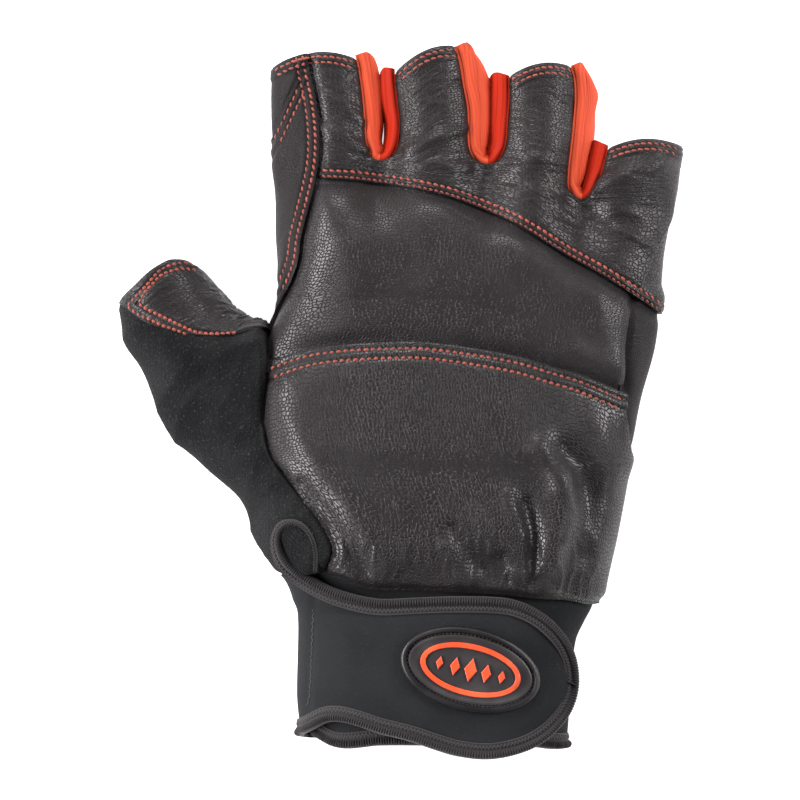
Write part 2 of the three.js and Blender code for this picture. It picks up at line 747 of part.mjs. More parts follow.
// Back of the hand, then the strips between the fingers, then the panels of the palm side
takeFrom('back_panel', slab(-far, backSeamHeight), slab(-far, backSeamHeight + seamGap));
for (const gap of fingerGaps) {
  const strip = panelWall + 0.6;
  takeFrom(gap.name, gapForm(gap, strip), gapForm(gap, strip + seamGap));
}
const sideFrom = 0.42;
const sideTo = 1.1;
const indexSide = (shift, tuck) => leftOf(lengthLine(indexSeam, sideFrom, sideTo, shift + tuck));
takeFrom('index_side_panel', tucked(indexSide, 0), tucked(indexSide, seamGap));
pieces.index_gusset = pieces.index_side_panel.intersect(above(alongLine(gussetEdge, 0)));
pieces.index_side_panel = pieces.index_side_panel.subtract(above(alongLine(gussetEdge, -seamGap)));
takeFrom('finger_panel', above(alongLine(upperSeam, 0)), above(alongLine(upperSeam, -seamGap)));
takeFrom('heel_panel', below(alongLine(lowerSeam, 0)), below(alongLine(lowerSeam, seamGap)));
const padTo = outerSeam[outerSeam.length - 1].along;
const padSide = (shift) => leftOf(lengthLine(outerSeam, outerSeam[0].along, padTo, shift))
  .intersect(slab(flankHeight - shift, far));
takeFrom('palm_pad', padSide(0), padSide(seamGap));
pieces.outer_side_panel = shell;

// Cuff, its bound lower edge and the slit that the strap closes
const cuffTop = heelLineY + cuffInset;
const cuffLine = (shift) => crossLine(cuffEdge, 'down', downY, shift);
const slitX = ventCentre.x + cuffSlit / 2;
const slit = prism([
  flatPoint(slitX - cuffSlit / 2, -far), flatPoint(slitX + cuffSlit / 2, -far),
  flatPoint(slitX + cuffSlit / 2, far), flatPoint(slitX - cuffSlit / 2, far),
], palmHeight * 0.5);
const insideHeel = handForm(innerFine, panelWall + seamGap);
const heelMouth = alongY(handSections[0].along) + seamGap;
const outsideHeel = above([flatPoint(-far, heelMouth), flatPoint(far, heelMouth)]).subtract(insideHeel);
const cuffTube = cuffForm(0, cuffTop, downY(1.1))
  .subtract(cuffForm(-neopreneWall, cuffTop + 1, downY(1.1) - 1))
  .subtract(outsideHeel);
const cuff = cuffTube.intersect(above(cuffLine(bindingWidth + seamGap))).subtract(slit);
const cuffBinding = cuffLayer(-neopreneWall - bindingSwell / 2, bindingSwell)
  .intersect(above(cuffLine(0)))
  .intersect(below(cuffLine(bindingWidth)))
  .subtract(slit);

// Strap and its bound edge, on the cuff and clear of the heel
const strapEdge = smoothOutline(strapOutline);
const strapSpace = slab(strapFoot, far)
  .subtract(prism([flatPoint(0, -far), flatPoint(far, -far), flatPoint(far, far), flatPoint(0, far)], -far, strapEndHeight))
  .subtract(handForm(outerFine, -seamGap).intersect(handOutline(seamGap)))
  .subtract(swollenForm.intersect(ventSeat));
const strapLow = bindingSwell + seamGap;
const strapHigh = strapLow + neopreneWall;
const strap = cuffLayer(strapLow, strapHigh)
  .intersect(prism(pulledIn(strapEdge, bindingWidth + seamGap)))
  .intersect(strapSpace);
const strapBinding = cuffLayer(strapLow, strapHigh + bindingSwell)
  .intersect(prism(strapEdge).subtract(prism(pulledIn(strapEdge, bindingWidth))))
  .intersect(strapSpace);

// Rubber oval on the strap with a raised rim, an inner oval and a row of diamonds
const badgeCentre = flatPoint(badgeAt.x * palmWidth, downY(badgeAt.down));
const plateLow = strapHigh + seamGap;
const plateHigh = plateLow + badgePlate;
const reliefLow = plateHigh + seamGap;
const reliefHigh = reliefLow + badgeRelief;
const reliefLayer = cuffLayer(reliefLow, reliefHigh);
const ovalAround = (length, width) => prism(ellipse(badgeCentre, length, width, badgeTurn, ovalSteps), strapEndHeight);
const badgePlateSolid = cuffLayer(plateLow, plateHigh).intersect(ovalAround(badgeLength, badgeWidth));
const badgeRimSolid = reliefLayer.intersect(
  ovalAround(badgeLength, badgeWidth).subtract(ovalAround(badgeLength - 2 * badgeRim, badgeWidth - 2 * badgeRim)),
);
const badgeOvalSolid = reliefLayer.intersect(
  ovalAround(ovalLength, ovalWidth).subtract(ovalAround(ovalLength - 2 * ovalBand, ovalWidth - 2 * ovalBand)),
);

function diamond(index) {
  const place = index - (diamondCount - 1) / 2;
  const size = 1 - 0.22 * Math.abs(place);
  const tilt = THREE.MathUtils.degToRad(badgeTurn);
  const corners = [[1, 0], [0, 1], [-1, 0], [0, -1]].map(([x, y]) => {
    const corner = flatPoint(place * diamondPitch + (x * diamondLength * size) / 2, (y * diamondHeight * size) / 2);
    return corner.rotateAround(flatPoint(0, 0), tilt).add(badgeCentre);
  });
  return reliefLayer.intersect(prism(corners, strapEndHeight));
}

for (const [name, solid] of Object.entries(pieces)) {
  const orange = name.startsWith('fourchette');
  const cloth = name === 'thumb_panel' || name === 'back_panel';
  addMesh(name, solid, orange ? 0xf0552f : cloth ? 0x24272a : leather, orange || cloth ? 0.9 : 0.55);
}
addMesh('vent_binding', ventSolid, 0x34303a, 0.8);
addMesh('cuff', cuff, 0x2d3236, 0.9);
addMesh('cuff_binding', cuffBinding, 0x34303a, 0.8);
addMesh('strap', strap, 0x2d3236, 0.9);
addMesh('strap_binding', strapBinding, 0x34303a, 0.8);
addMesh('badge', badgePlateSolid, 0x4b484b, 0.5);
addMesh('badge_rim', badgeRimSolid, 0x1c1b1c, 0.35);
addMesh('badge_oval', badgeOvalSolid, 0xe8502c, 0.5);
for (let i = 0; i < diamondCount; i += 1) addMesh(`badge_diamond_${i + 1}`, diamond(i), 0xe8502c, 0.5);

export default group;
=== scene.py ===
# Half-finger climbing glove for the left hand, palm up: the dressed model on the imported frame.
# Metres, +Y towards the finger hems, +X towards the little finger, +Z up out of the palm.
import json
import math

import bpy
import numpy as np
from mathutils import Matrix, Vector
from mathutils.bvhtree import BVHTree

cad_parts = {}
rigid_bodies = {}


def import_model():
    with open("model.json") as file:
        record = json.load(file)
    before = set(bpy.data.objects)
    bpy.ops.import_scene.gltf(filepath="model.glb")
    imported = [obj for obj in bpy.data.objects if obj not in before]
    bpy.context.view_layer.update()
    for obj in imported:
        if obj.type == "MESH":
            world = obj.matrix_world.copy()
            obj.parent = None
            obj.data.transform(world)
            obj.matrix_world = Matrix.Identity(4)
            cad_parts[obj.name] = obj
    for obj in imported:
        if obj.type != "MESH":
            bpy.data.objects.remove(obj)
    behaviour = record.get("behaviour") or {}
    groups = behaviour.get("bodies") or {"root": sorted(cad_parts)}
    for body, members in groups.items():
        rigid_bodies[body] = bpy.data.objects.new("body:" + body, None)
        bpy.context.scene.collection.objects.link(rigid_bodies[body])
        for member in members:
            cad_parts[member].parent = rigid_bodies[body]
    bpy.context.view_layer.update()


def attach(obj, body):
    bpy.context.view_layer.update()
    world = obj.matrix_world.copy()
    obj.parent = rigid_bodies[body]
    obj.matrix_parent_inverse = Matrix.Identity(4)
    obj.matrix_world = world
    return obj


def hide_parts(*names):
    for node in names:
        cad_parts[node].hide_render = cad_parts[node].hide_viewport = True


bpy.ops.object.select_all(action="SELECT")
bpy.ops.object.delete()
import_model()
bpy.ops.object.select_all(action="DESELECT")
print("frame loaded")

mm = 0.001
hand = {
    "length": 0.146,
    "width": 0.108,
    "height": 0.034,
    "heelY": -0.0531,
    "backSeam": 0.0066,  # height of the seam to the back of the hand
    "wall": 0.0015,
    "side": 0.76,
    "crown": 0.84,
    "sole": 0.8,
    "waist": 0.4,
    "flat": 0.005,
    "seamDip": 0.0011,
    "seamReach": 0.004,
    "valleyDepth": 0.0065,
    "valleyReach": 0.0075,
    "valleyRun": 0.024,
}
handSections = {
    "along": [-0.02, 0.036, 0.07, 0.109, 0.182, 0.272, 0.363, 0.454, 0.545, 0.635, 0.726, 0.817, 0.908,
              1.03],
    "left": [-0.245, -0.275, -0.322, -0.35, -0.374, -0.386, -0.374, -0.339, -0.3, -0.303, -0.306, -0.315,
             -0.318, -0.312],
    "right": [0.499, 0.512, 0.522, 0.534, 0.553, 0.575, 0.598, 0.632, 0.649, 0.661, 0.681, 0.696, 0.708,
              0.718],
    "height": [0.912, 0.985, 1.02, 1.055, 1.074, 1.044, 1.0, 0.941, 0.882, 0.824, 0.765, 0.706, 0.632,
               0.588],
}

# Seams on the palm side, in mm
upperEdge = {
    "x": [-40, -26.4, -21.3, -12.3, -3.0, 6.0, 14.2, 23.2, 31.7, 44.1, 53.1, 62.4, 71.2, 80],
    "y": [59.4, 59.2, 58.7, 58.2, 57.1, 55.5, 53.4, 50.0, 46.0, 38.3, 33.3, 27.4, 21.6, 16.0],
}
lowerEdge = {
    "x": [-45, -38.3, -35.1, -25.8, -16.8, -3.0, 6.0, 17.4, 31.7, 39.6, 48.6, 59.2, 66.4, 75],
    "y": [5.5, 8.3, 9.7, 12.9, 14.4, 15.2, 15.2, 13.9, 11.3, 8.9, 6.2, 1.7, -1.2, -4.5],
}
indexEdge = {
    "x": [-25.6, -24.5, -23.7, -22.4, -21.3, -21.3, -22.1, -23.2, -24.8, -26.1, -26.9, -29.0, -31.4, -33.8,
          -35.4],
    "y": [95.3, 91.3, 86.3, 80.4, 72.2, 64.0, 58.7, 53.9, 47.8, 42.5, 36.4, 30.6, 26.4, 22.1, 18.9],
}
thumbEdge = {
    "x": [-35.4, -35.9, -36.2, -36.7, -37.0, -35.9, -34.3, -31.9, -28.8, -26.6, -22.9, -20.0, -17.9, -18.2,
          -21.1, -24.2],
    "y": [18.9, 13.4, 7.3, 2.3, -4.4, -10.5, -16.0, -18.4, -23.2, -25.6, -29.8, -34.1, -38.3, -42.3, -45.7,
          -49.2],
}
outerEdge = {
    "x": [66.4, 62.4, 61.6, 60.8, 59.9, 59.8, 59.8, 59.5, 60.3, 61.1, 60.6],
    "y": [42.3, 27.4, 25.0, 20.5, 13.6, 6.8, -0.1, -3.6, -8.1, -16.8, -24.0],
}
heelEdge = {
    "x": [-34.3, -27.7, -21.9, -15.2, -8.1, 5.2, 26.6, 35.9, 44.9, 51.0, 54.2, 58.4],
    "y": [-44.1, -45.2, -46.2, -48.4, -50.5, -50.7, -51.8, -52.9, -53.4, -54.5, -53.9, -53.9],
}
gussetEdge = {
    "x": [-36.4, -34.1, -30.6, -27.2, -25.6, -22.4],
    "y": [63.5, 69.0, 76.2, 83.6, 87.3, 93.9],
}
crotchLine = {
    "x": [-40, -20, -5.2, 23.5, 48.4, 60, 80],
    "y": [63.5, 63.5, 63.5, 62.4, 53.1, 50.5, 49],
}
fingers = [
    {"crestAt": -0.19, "crest": 0.995, "span": 0.315, "columns": 44},
    {"crestAt": 0.12, "crest": 1.006, "span": 0.248, "columns": 62},
    {"crestAt": 0.37, "crest": 0.975, "span": 0.267, "columns": 62},
    {"crestAt": 0.61, "crest": 0.837, "span": 0.31, "columns": 72},
]
hemFall = 0.17
# run of the wrinkles
wrinkleFlow = {"x": [-40, -24, -8, 2, 12, 24, 36, 48, 60, 80], "y": [7, 3, -3, -2, 2, 5, 6, 4, 6, 7]}
sideFold = {"x": [60.0, 63.7, 65.1, 66.9, 69.6, 72.2, 73.0, 74.0],
            "y": [18.0, 29.5, 33.0, 37.5, 42.3, 47.6, 51.5, 60.0]}

# Gaps between the fingers in mm: the two leather edges, and how far the orange cloth reaches into the gap
gaps = [
    {
        "node": "fourchette_index_middle",
        "left": {"x": [-5.2, -6.5, -7.3, -8.3, -8.6, -9.1, -9.9, -11.0, -11.5],
                 "y": [63.5, 63.9, 65.3, 69.0, 73.5, 79.6, 85.7, 91.3, 93.9]},
        "right": {"x": [-5.2, -3.7, -2.5, -1.2, -0.7, -1.2, -1.7, -2.0, -2.3],
                  "y": [63.5, 63.9, 64.8, 67.4, 73.5, 78.0, 82.8, 87.8, 93.9]},
        "reachLeft": {"y": [63.5, 65.4, 66.6, 73.0, 82.0, 86.8, 91.3],
                      "reach": [1.9, 2.6, 2.5, 3.3, 4.3, 4.6, 4.4]},
        "reachRight": {"y": [63.5, 65.4, 66.6, 73.0, 79.4, 84.0, 88.0],
                       "reach": [1.9, 2.0, 2.3, 2.4, 3.2, 3.1, 2.6]},
        "topLeft": {"y": 91.4, "crest": 0.9, "fall": 3.4},
        "topRight": {"y": 87.6, "crest": 0.7, "fall": 2.2},
    },
    {
        "node": "fourchette_middle_ring",
        "left": {"x": [23.5, 21.9, 20.8, 19.2, 18.7, 18.7, 17.6, 16.6, 15.5, 15.0],
                 "y": [62.4, 62.7, 63.5, 66.1, 70.6, 76.7, 82.8, 88.9, 92.9, 95.3]},
        "right": {"x": [23.5, 24.8, 26.1, 27.4, 28.0, 28.4, 28.4, 28.4],
                  "y": [62.4, 62.9, 64.5, 67.4, 73.5, 79.6, 85.7, 90.0]},
        "reachLeft": {"y": [62.4, 65.5, 70.6, 76.7, 82.8, 86.0, 89.4, 91.8],
                      "reach": [1.9, 3.8, 5.0, 5.1, 6.3, 7.0, 6.6, 5.0]},
        "reachRight": {"y": [62.4, 65.5, 70.6, 76.7, 85.5], "reach": [1.9, 3.2, 3.7, 4.2, 4.0]},
        "topLeft": {"y": 93.6, "crest": 1.4, "fall": 7.4},
        "topRight": {"y": 85.8, "crest": 1.0, "fall": 0.5},
    },
    {
        "node": "fourchette_ring_pinky",
        "left": {"x": [48.4, 47.0, 46.0, 45.3, 45.3, 46.2, 46.8, 47.2, 47.0, 46.2, 46.0],
                 "y": [53.1, 53.5, 55.0, 56.3, 60.0, 68.5, 74.1, 79.6, 84.4, 88.1, 91.3]},
        "right": {"x": [48.4, 49.7, 50.7, 52.2, 53.7, 54.5, 54.7],
                  "y": [53.1, 53.7, 54.7, 58.2, 62.9, 66.6, 71.4]},
        "reachLeft": {"y": [53.1, 55.5, 59.2, 64.8, 68.8, 77.8, 83.0, 85.2, 88.6],
                      "reach": [1.9, 2.1, 3.5, 4.2, 4.6, 4.0, 4.7, 4.6, 2.6]},
        "reachRight": {"y": [53.1, 55.5, 59.2, 62.9, 66.6, 67.9], "reach": [1.9, 2.8, 3.3, 3.8, 3.4, 3.0]},
        "topLeft": {"y": 88.6, "crest": 0.9, "fall": 3.6},
        "topRight": {"y": 67.2, "crest": 1.2, "fall": -0.4},
    },
]

# Folds of the palm side in mm: rise up or down, reach to each side
folds = [
    {"from": (-29.6, -10.5), "to": (-5.9, -44.3), "rise": 0.4, "reach": 5.0},
    {"from": (-25.8, -22.7), "to": (-9.5, -44.7), "rise": -1.5, "reach": 2.5},
    {"from": (37.4, -13.1), "to": (43.5, -21.5), "rise": 1.2, "reach": 4.5},
    {"from": (43.5, -21.5), "to": (40.2, -44.3), "rise": 1.6, "reach": 4.5},
    {"from": (44.0, -13.4), "to": (49.5, -21.8), "rise": -1.2, "reach": 4.0},
    {"from": (49.5, -21.8), "to": (47.5, -38.8), "rise": -1.5, "reach": 4.5},
    {"from": (28.7, -29.0), "to": (30.9, -47.6), "rise": 0.7, "reach": 4.0},
    {"from": (33.9, -25.9), "to": (34.6, -40.0), "rise": -0.7, "reach": 3.5},
    {"from": (22.7, -45.2), "to": (22.9, -45.8), "rise": -1.2, "reach": 7.0},
    {"from": (53.1, 51.6), "to": (69.0, 62.2), "rise": 1.2, "reach": 4.5},
    {"from": (54.0, 47.6), "to": (71.3, 50.6), "rise": -1.2, "reach": 4.5},
    {"from": (-27.0, 43.3), "to": (10.8, 34.5), "rise": 0.8, "reach": 15.0},
]

# Sharper creases of single panels: lines in mm, rise up or down, reach to each side
heelCreases = [
    {"line": [(-30.0, 1.0), (-28.5, -4.5), (-25.3, -9.6), (-20.8, -15.4), (-16.0, -22.0), (-10.2, -30.4),
              (-6.5, -36.7),
              (-3.6, -42.4)], "rise": 2.2, "reach": 5.2, "far": 10.0},
    {"line": [(-21.5, -30.5), (-16.2, -38.5), (-12.0, -45.0)], "rise": 0.8, "reach": 3.0, "far": 2.4},
    {"line": [(-17.0, -44.0), (-10.5, -47.2)], "rise": 0.7, "reach": 2.0},
    {"line": [(36.5, -12.5), (40.6, -17.0), (43.2, -21.5), (44.3, -27.0), (43.6, -32.5), (41.2, -38.0),
              (39.4, -43.5),
              (39.6, -49.0)], "rise": 1.1, "reach": 3.0, "far": 3.4},
    {"line": [(43.0, -13.6), (47.0, -18.0), (49.6, -24.0), (50.0, -30.0)], "rise": -0.7, "reach": 2.6},
    {"line": [(53.5, -8.0), (57.0, -14.0), (60.5, -20.0)], "rise": 0.7, "reach": 3.4},
    {"line": [(47.5, -24.5), (54.0, -26.5), (60.0, -25.5)], "rise": -0.7, "reach": 3.2},
    {"line": [(28.6, -25.0), (30.4, -31.5), (32.6, -38.0), (32.2, -46.0)], "rise": 1.0, "reach": 1.9},
    {"line": [(33.6, -27.5), (35.4, -34.0), (35.0, -41.0), (34.6, -47.5)], "rise": -0.9, "reach": 1.8},
    {"line": [(20.0, -29.0), (22.5, -34.0), (24.5, -39.5)], "rise": 0.8, "reach": 2.0},
    {"line": [(14.0, -34.0), (18.0, -39.0), (22.0, -44.0), (26.5, -48.0)], "rise": -0.9, "reach": 2.0},
    {"line": [(11.5, -39.0), (15.0, -43.5), (17.5, -49.0)], "rise": 0.9, "reach": 2.2},
    {"line": [(27.0, -41.0), (29.0, -48.0)], "rise": -0.6, "reach": 1.4},
    {"line": [(0.1, -45.0), (8.1, -47.0)], "rise": -0.6, "reach": 3.0},
    {"line": [(52.1, -39.4), (57.9, -44.9)], "rise": 0.6, "reach": 4.0},
]
fingerCreases = [
    {"line": [(51.4, 54.8), (57.0, 58.0), (64.0, 61.0), (73.6, 62.5)], "rise": 1.5, "reach": 1.9,
     "far": 3.2},
    {"line": [(50.4, 50.2), (56.0, 52.6), (62.0, 54.5)], "rise": -0.4, "reach": 2.2},
    {"line": [(56.0, 50.6), (62.0, 48.8), (68.4, 45.5)], "rise": 0.7, "reach": 2.0},
    {"line": [(53.4, 45.6), (60.0, 44.2), (66.4, 40.6)], "rise": 0.6, "reach": 1.3},
    {"line": [(28.2, 59.6), (34.0, 62.6), (41.0, 66.0)], "rise": 0.5, "reach": 2.4},
    {"line": [(25.4, 53.0), (33.0, 55.0), (42.0, 53.0)], "rise": 0.4, "reach": 2.4},
    {"line": [(2.3, 66.1), (9.7, 69.0), (18.2, 71.9)], "rise": 0.7, "reach": 1.6},
    {"line": [(-1.0, 59.8), (8.1, 61.9), (17.7, 61.3)], "rise": 0.6, "reach": 1.6},
    {"line": [(-20.5, 80.4), (-14.4, 77.8), (-9.9, 73.5)], "rise": 0.6, "reach": 1.6},
    {"line": [(-21.1, 71.9), (-14.4, 69.3), (-8.9, 65.6)], "rise": 0.6, "reach": 1.6},
]
padCreases = [
    {"line": [(1.5, 20.5), (8.6, 18.4)], "rise": -0.9, "reach": 6.0},
    {"line": [(-14.7, 48.1), (-12.6, 36.4)], "rise": 1.2, "reach": 6.0},
    {"line": [(-14.4, 26.4), (-13.1, 19.7)], "rise": 0.7, "reach": 6.0},
    {"line": [(0.1, 50.2), (1.2, 31.7)], "rise": -0.6, "reach": 8.0},
    {"line": [(42.5, 21.1), (53.1, 14.4)], "rise": -0.6, "reach": 5.0},
    {"line": [(52.1, 26.4), (53.1, 19.7)], "rise": 0.7, "reach": 4.0},
]
sideCreases = [
    {"line": [(63.7, 18.4), (65.9, 5.2), (64.0, -8.1)], "rise": 1.0, "reach": 2.6},
    {"line": [(66.4, 36.4), (69.0, 30.3)], "rise": 0.8, "reach": 3.0},
]


def column(table, key, name, place):
    order = np.argsort(table[key])
    keys = np.array(table[key], float)[order]
    values = np.array(table[name], float)[order]
    place = np.clip(np.asarray(place, float), keys[0], keys[-1])
    row = np.clip(np.searchsorted(keys, place, side="right") - 1, 0, len(keys) - 2)
    slopes = np.empty(len(keys))
    slopes[1:-1] = (values[2:] - values[:-2]) / (keys[2:] - keys[:-2])
    slopes[0] = (values[1] - values[0]) / (keys[1] - keys[0])
    slopes[-1] = (values[-1] - values[-2]) / (keys[-1] - keys[-2])
    span = keys[row + 1] - keys[row]
    t = (place - keys[row]) / span
    eased = t * t * (3 - 2 * t)
    bend = t * (1 - t) * span
    return values[row] + (values[row + 1] - values[row]) * eased + bend * ((1 - t) * slopes[row]
                                                                           - t * slopes[row + 1])


def ease(low, high, value):
    t = np.clip((value - low) / (high - low), 0, 1)
    return t * t * (3 - 2 * t)


def bell(distance, reach):
    return np.exp(-((distance / reach) ** 2))


def runLengths(points):
    return np.concatenate([[0], np.cumsum(np.linalg.norm(np.diff(points, axis=0), axis=1))])


def evened(values, turns):
    for turn in range(turns):
        values[1:-1] = (values[:-2] + 2 * values[1:-1] + values[2:]) / 4
    return values


def unit(vectors):
    return vectors / np.linalg.norm(vectors, axis=1, keepdims=True)


def seamY(table, x):
    return column(table, "x", "y", x / mm) * mm


def seamX(table, y):
    return column(table, "y", "x", y / mm) * mm


def alongOf(y):
    return (y - hand["heelY"]) / hand["length"]


def softNoise(x, y, seed):
    angles = np.random.default_rng(seed).random((64, 64)) * 2 * math.pi
    column0 = np.floor(x).astype(int)
    row0 = np.floor(y).astype(int)
    fx = x - column0
    fy = y - row0

    def corner(dx, dy):
        angle = angles[(row0 + dy) % 64, (column0 + dx) % 64]
        return np.cos(angle) * (fx - dx) + np.sin(angle) * (fy - dy)

    sx = fx * fx * (3 - 2 * fx)
    sy = fy * fy * (3 - 2 * fy)
    low = corner(0, 0) * (1 - sx) + corner(1, 0) * sx
    high = corner(0, 1) * (1 - sx) + corner(1, 1) * sx
    return low * (1 - sy) + high * sy


def relief(x, y):
    rise = np.zeros(np.broadcast(x, y).shape)
    for fold in folds:
        startX, startY = fold["from"][0] * mm, fold["from"][1] * mm
        runX, runY = fold["to"][0] * mm - startX, fold["to"][1] * mm - startY
        share = np.clip(((x - startX) * runX + (y - startY) * runY) / (runX ** 2 + runY ** 2), 0, 1)
        distance = np.hypot(x - startX - share * runX, y - startY - share * runY)
        rise += fold["rise"] * mm * bell(distance, fold["reach"] * mm)
    for gap in gaps:
        crotch = gap["left"]["y"][0] * mm
        centre = (seamX(gap["left"], y) + seamX(gap["right"], y)) / 2
        deepening = ease(crotch - hand["valleyRun"], crotch, y)
        rise -= hand["valleyDepth"] * deepening * bell(x - centre, hand["valleyReach"])
    for seam in (upperEdge, lowerEdge):
        rise -= hand["seamDip"] * bell(y - seamY(seam, x), hand["seamReach"])
    return rise * ease(hand["heelY"], hand["heelY"] + 0.012, y)


def creaseLift(x, y, creases):
    rise = np.zeros(np.broadcast(x, y).shape)
    for crease in creases:
        nearest = np.full(rise.shape, 1.0)
        reach = np.full(rise.shape, crease["reach"] * mm)
        for start, end in zip(crease["line"], crease["line"][1:]):
            runX, runY = (end[0] - start[0]) * mm, (end[1] - start[1]) * mm
            fromX, fromY = x - start[0] * mm, y - start[1] * mm
            share = np.clip((fromX * runX + fromY * runY) / (runX ** 2 + runY ** 2), 0, 1)
            away = np.hypot(fromX - share * runX, fromY - share * runY)
            rightward = away < nearest
            nearest = np.where(rightward, away, nearest)
            if "far" in crease:
                farSide = ease(-0.2, 0.2, (runX * fromY
                                           - runY * fromX) / np.hypot(runX, runY) / np.maximum(away, 1e-6))
                reach = np.where(rightward, (crease["reach"]
                                             + (crease["far"] - crease["reach"]) * farSide) * mm, reach)
        rise += crease["rise"] * mm * bell(nearest, reach)
    return rise


def ovalPoint(left, right, bottom, top, turn, grow=0.0):
    cos, sin = np.cos(turn), np.sin(turn)
    waist = bottom + (top - bottom) * hand["waist"]
    half = (right - left) / 2 + grow
    across = (left + right) / 2 + np.sign(cos) * half * np.abs(cos) ** hand["side"]
    crown = waist + (top + grow - waist) * np.abs(sin) ** hand["crown"]
    sole = np.maximum(waist - (waist - bottom + grow + hand["flat"]) * np.abs(sin) ** hand["sole"],
                      bottom - grow)
    return across, np.where(sin >= 0, crown, sole)


# Place round a section: 0 at the left waist, 1 at the right waist, evenly spaced over the crown
turnTable = np.linspace(math.pi + 1.45, -1.45, 2400)
meanX, meanZ = ovalPoint(-0.036, 0.066, 0.0, 0.031, turnTable)
roundLength = np.concatenate([[0], np.cumsum(np.hypot(np.diff(meanX), np.diff(meanZ)))])
waistLengths = np.interp([-math.pi, 0.0], -turnTable, roundLength)
girthTable = (roundLength - waistLengths[0]) / (waistLengths[1] - waistLengths[0])
girthLength = waistLengths[1] - waistLengths[0]


def turnAt(girth):
    return np.interp(girth, girthTable, turnTable)


def girthOfTurn(turn):
    return np.interp(-turn, -turnTable, girthTable)


def girthInOval(left, right, x):
    centre, half = (left + right) / 2, (right - left) / 2
    share = np.clip((x - centre) / half, -1, 1)
    return girthOfTurn(np.arccos(np.sign(share) * np.abs(share) ** (1 / hand["side"])))


def handOval(along):
    left = column(handSections, "along", "left", along) * hand["width"]
    right = column(handSections, "along", "right", along) * hand["width"]
    top = column(handSections, "along", "height", along) * hand["height"]
    return left, right, top


def handPoint(along, girth):
    left, right, top = handOval(along)
    turn = turnAt(girth)
    x, z = ovalPoint(left, right, 0.0, top, turn)
    y = hand["heelY"] + along * hand["length"]
    return np.stack([x, y, z + ease(0, 0.6, np.sin(turn)) * relief(x, y)], axis=-1)


def girthAt(along, x):
    left, right = handOval(along)[:2]
    return girthInOval(left, right, x)


def backTurn(along):
    waist = handOval(along)[2] * hand["waist"]
    return np.arcsin(((waist - hand["backSeam"]) / (waist + hand["flat"])) ** (1 / hand["sole"]))


def backLeft(along):
    return girthOfTurn(math.pi + backTurn(along))


def backRight(along):
    return girthOfTurn(-backTurn(along))


def gridNormals(points):
    across = np.gradient(points, axis=1)
    upward = np.gradient(points, axis=0)
    normals = np.cross(across, upward)
    return normals / np.maximum(np.linalg.norm(normals, axis=-1, keepdims=True), 1e-12)


def solveGrid(leftGirth, rightGirth, lowY, highY, columns, rows, start=0.5):
    u = np.linspace(0, 1, columns)[None, :]
    v = np.linspace(0, 1, rows)[:, None]
    along = np.full((rows, columns), start)
    for step in range(10):
        girth = leftGirth(along) + (rightGirth(along) - leftGirth(along)) * u
        x = handPoint(along, girth)[..., 0]
        along = alongOf(lowY(x) + (highY(x) - lowY(x)) * v)
    return along, girth


def lifted(points, lift):
    return points + gridNormals(points) * lift[..., None]


def gridPiece(name, points, openFaces=(), attributes=None):
    rows, columns = points.shape[:2]
    bpy.ops.object.select_all(action="DESELECT")
    bpy.ops.mesh.primitive_grid_add(x_subdivisions=columns - 1, y_subdivisions=rows - 1, size=1)
    piece = bpy.context.object
    piece.name = name
    piece.data.name = name
    mesh = piece.data
    mesh.vertices.foreach_set("co", points.reshape(-1))
    lengthU = runLengths(points[rows // 2])
    lengthV = runLengths(points[:, columns // 2])
    corners = np.empty(len(mesh.loops), int)
    mesh.loops.foreach_get("vertex_index", corners)
    uv = np.stack([lengthU[corners % columns], lengthV[corners // columns]], axis=-1)
    mesh.uv_layers.active.data.foreach_set("uv", uv.reshape(-1))
    for label, values in (attributes or {}).items():
        layer = mesh.attributes.new(label, "FLOAT", "POINT")
        layer.data.foreach_set("value", np.ascontiguousarray(values, dtype=np.float32).reshape(-1))
    mesh.update()
    if len(openFaces):
        chosen = np.zeros(len(mesh.polygons), bool)
        chosen[np.array(openFaces)] = True
        cutFaces(piece, chosen)
        closeSeam(piece)
    return piece


def activate(piece):
    bpy.ops.object.select_all(action="DESELECT")
    piece.select_set(True)
    bpy.context.view_layer.objects.active = piece


def cutFaces(piece, chosen):
    activate(piece)
    bpy.ops.object.mode_set(mode="EDIT")
    bpy.ops.mesh.select_mode(type="FACE")
    bpy.ops.mesh.select_all(action="DESELECT")
    bpy.ops.object.mode_set(mode="OBJECT")
    piece.data.polygons.foreach_set("select", chosen)
    bpy.ops.object.mode_set(mode="EDIT")
    bpy.ops.mesh.delete(type="FACE")
    bpy.ops.object.mode_set(mode="OBJECT")


def editWhole(piece, change):
    activate(piece)
    bpy.ops.object.mode_set(mode="EDIT")
    bpy.ops.mesh.select_all(action="SELECT")
    change()
    bpy.ops.object.mode_set(mode="OBJECT")


def closeSeam(piece):
    editWhole(piece, lambda: bpy.ops.mesh.remove_doubles(threshold=0.00002))


def pointOut(piece):
    editWhole(piece, lambda: bpy.ops.mesh.normals_make_consistent(inside=False))


def pointDown(piece):
    editWhole(piece, lambda: bpy.ops.mesh.flip_normals())


def readRows(items, name):
    values = np.empty(len(items) * 3)
    items.foreach_get(name, values)
    return values.reshape(-1, 3)


def applyModifier(piece, kind, settings):
    activate(piece)
    modifier = piece.modifiers.new(kind.lower(), kind)
    for name, value in settings.items():
        setattr(modifier, name, value)
    bpy.ops.object.modifier_apply(modifier=modifier.name)


def finishPiece(piece, material, nodes, wall=0.0, angle=50):
    if wall:
        applyModifier(piece, "SOLIDIFY", {"thickness": wall, "offset": -1})
    activate(piece)
    bpy.ops.object.shade_smooth_by_angle(angle=math.radians(angle))
    piece.data.materials.clear()
    piece.data.materials.append(material)
    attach(piece, "root")
    if nodes:
        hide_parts(*nodes)
    return piece


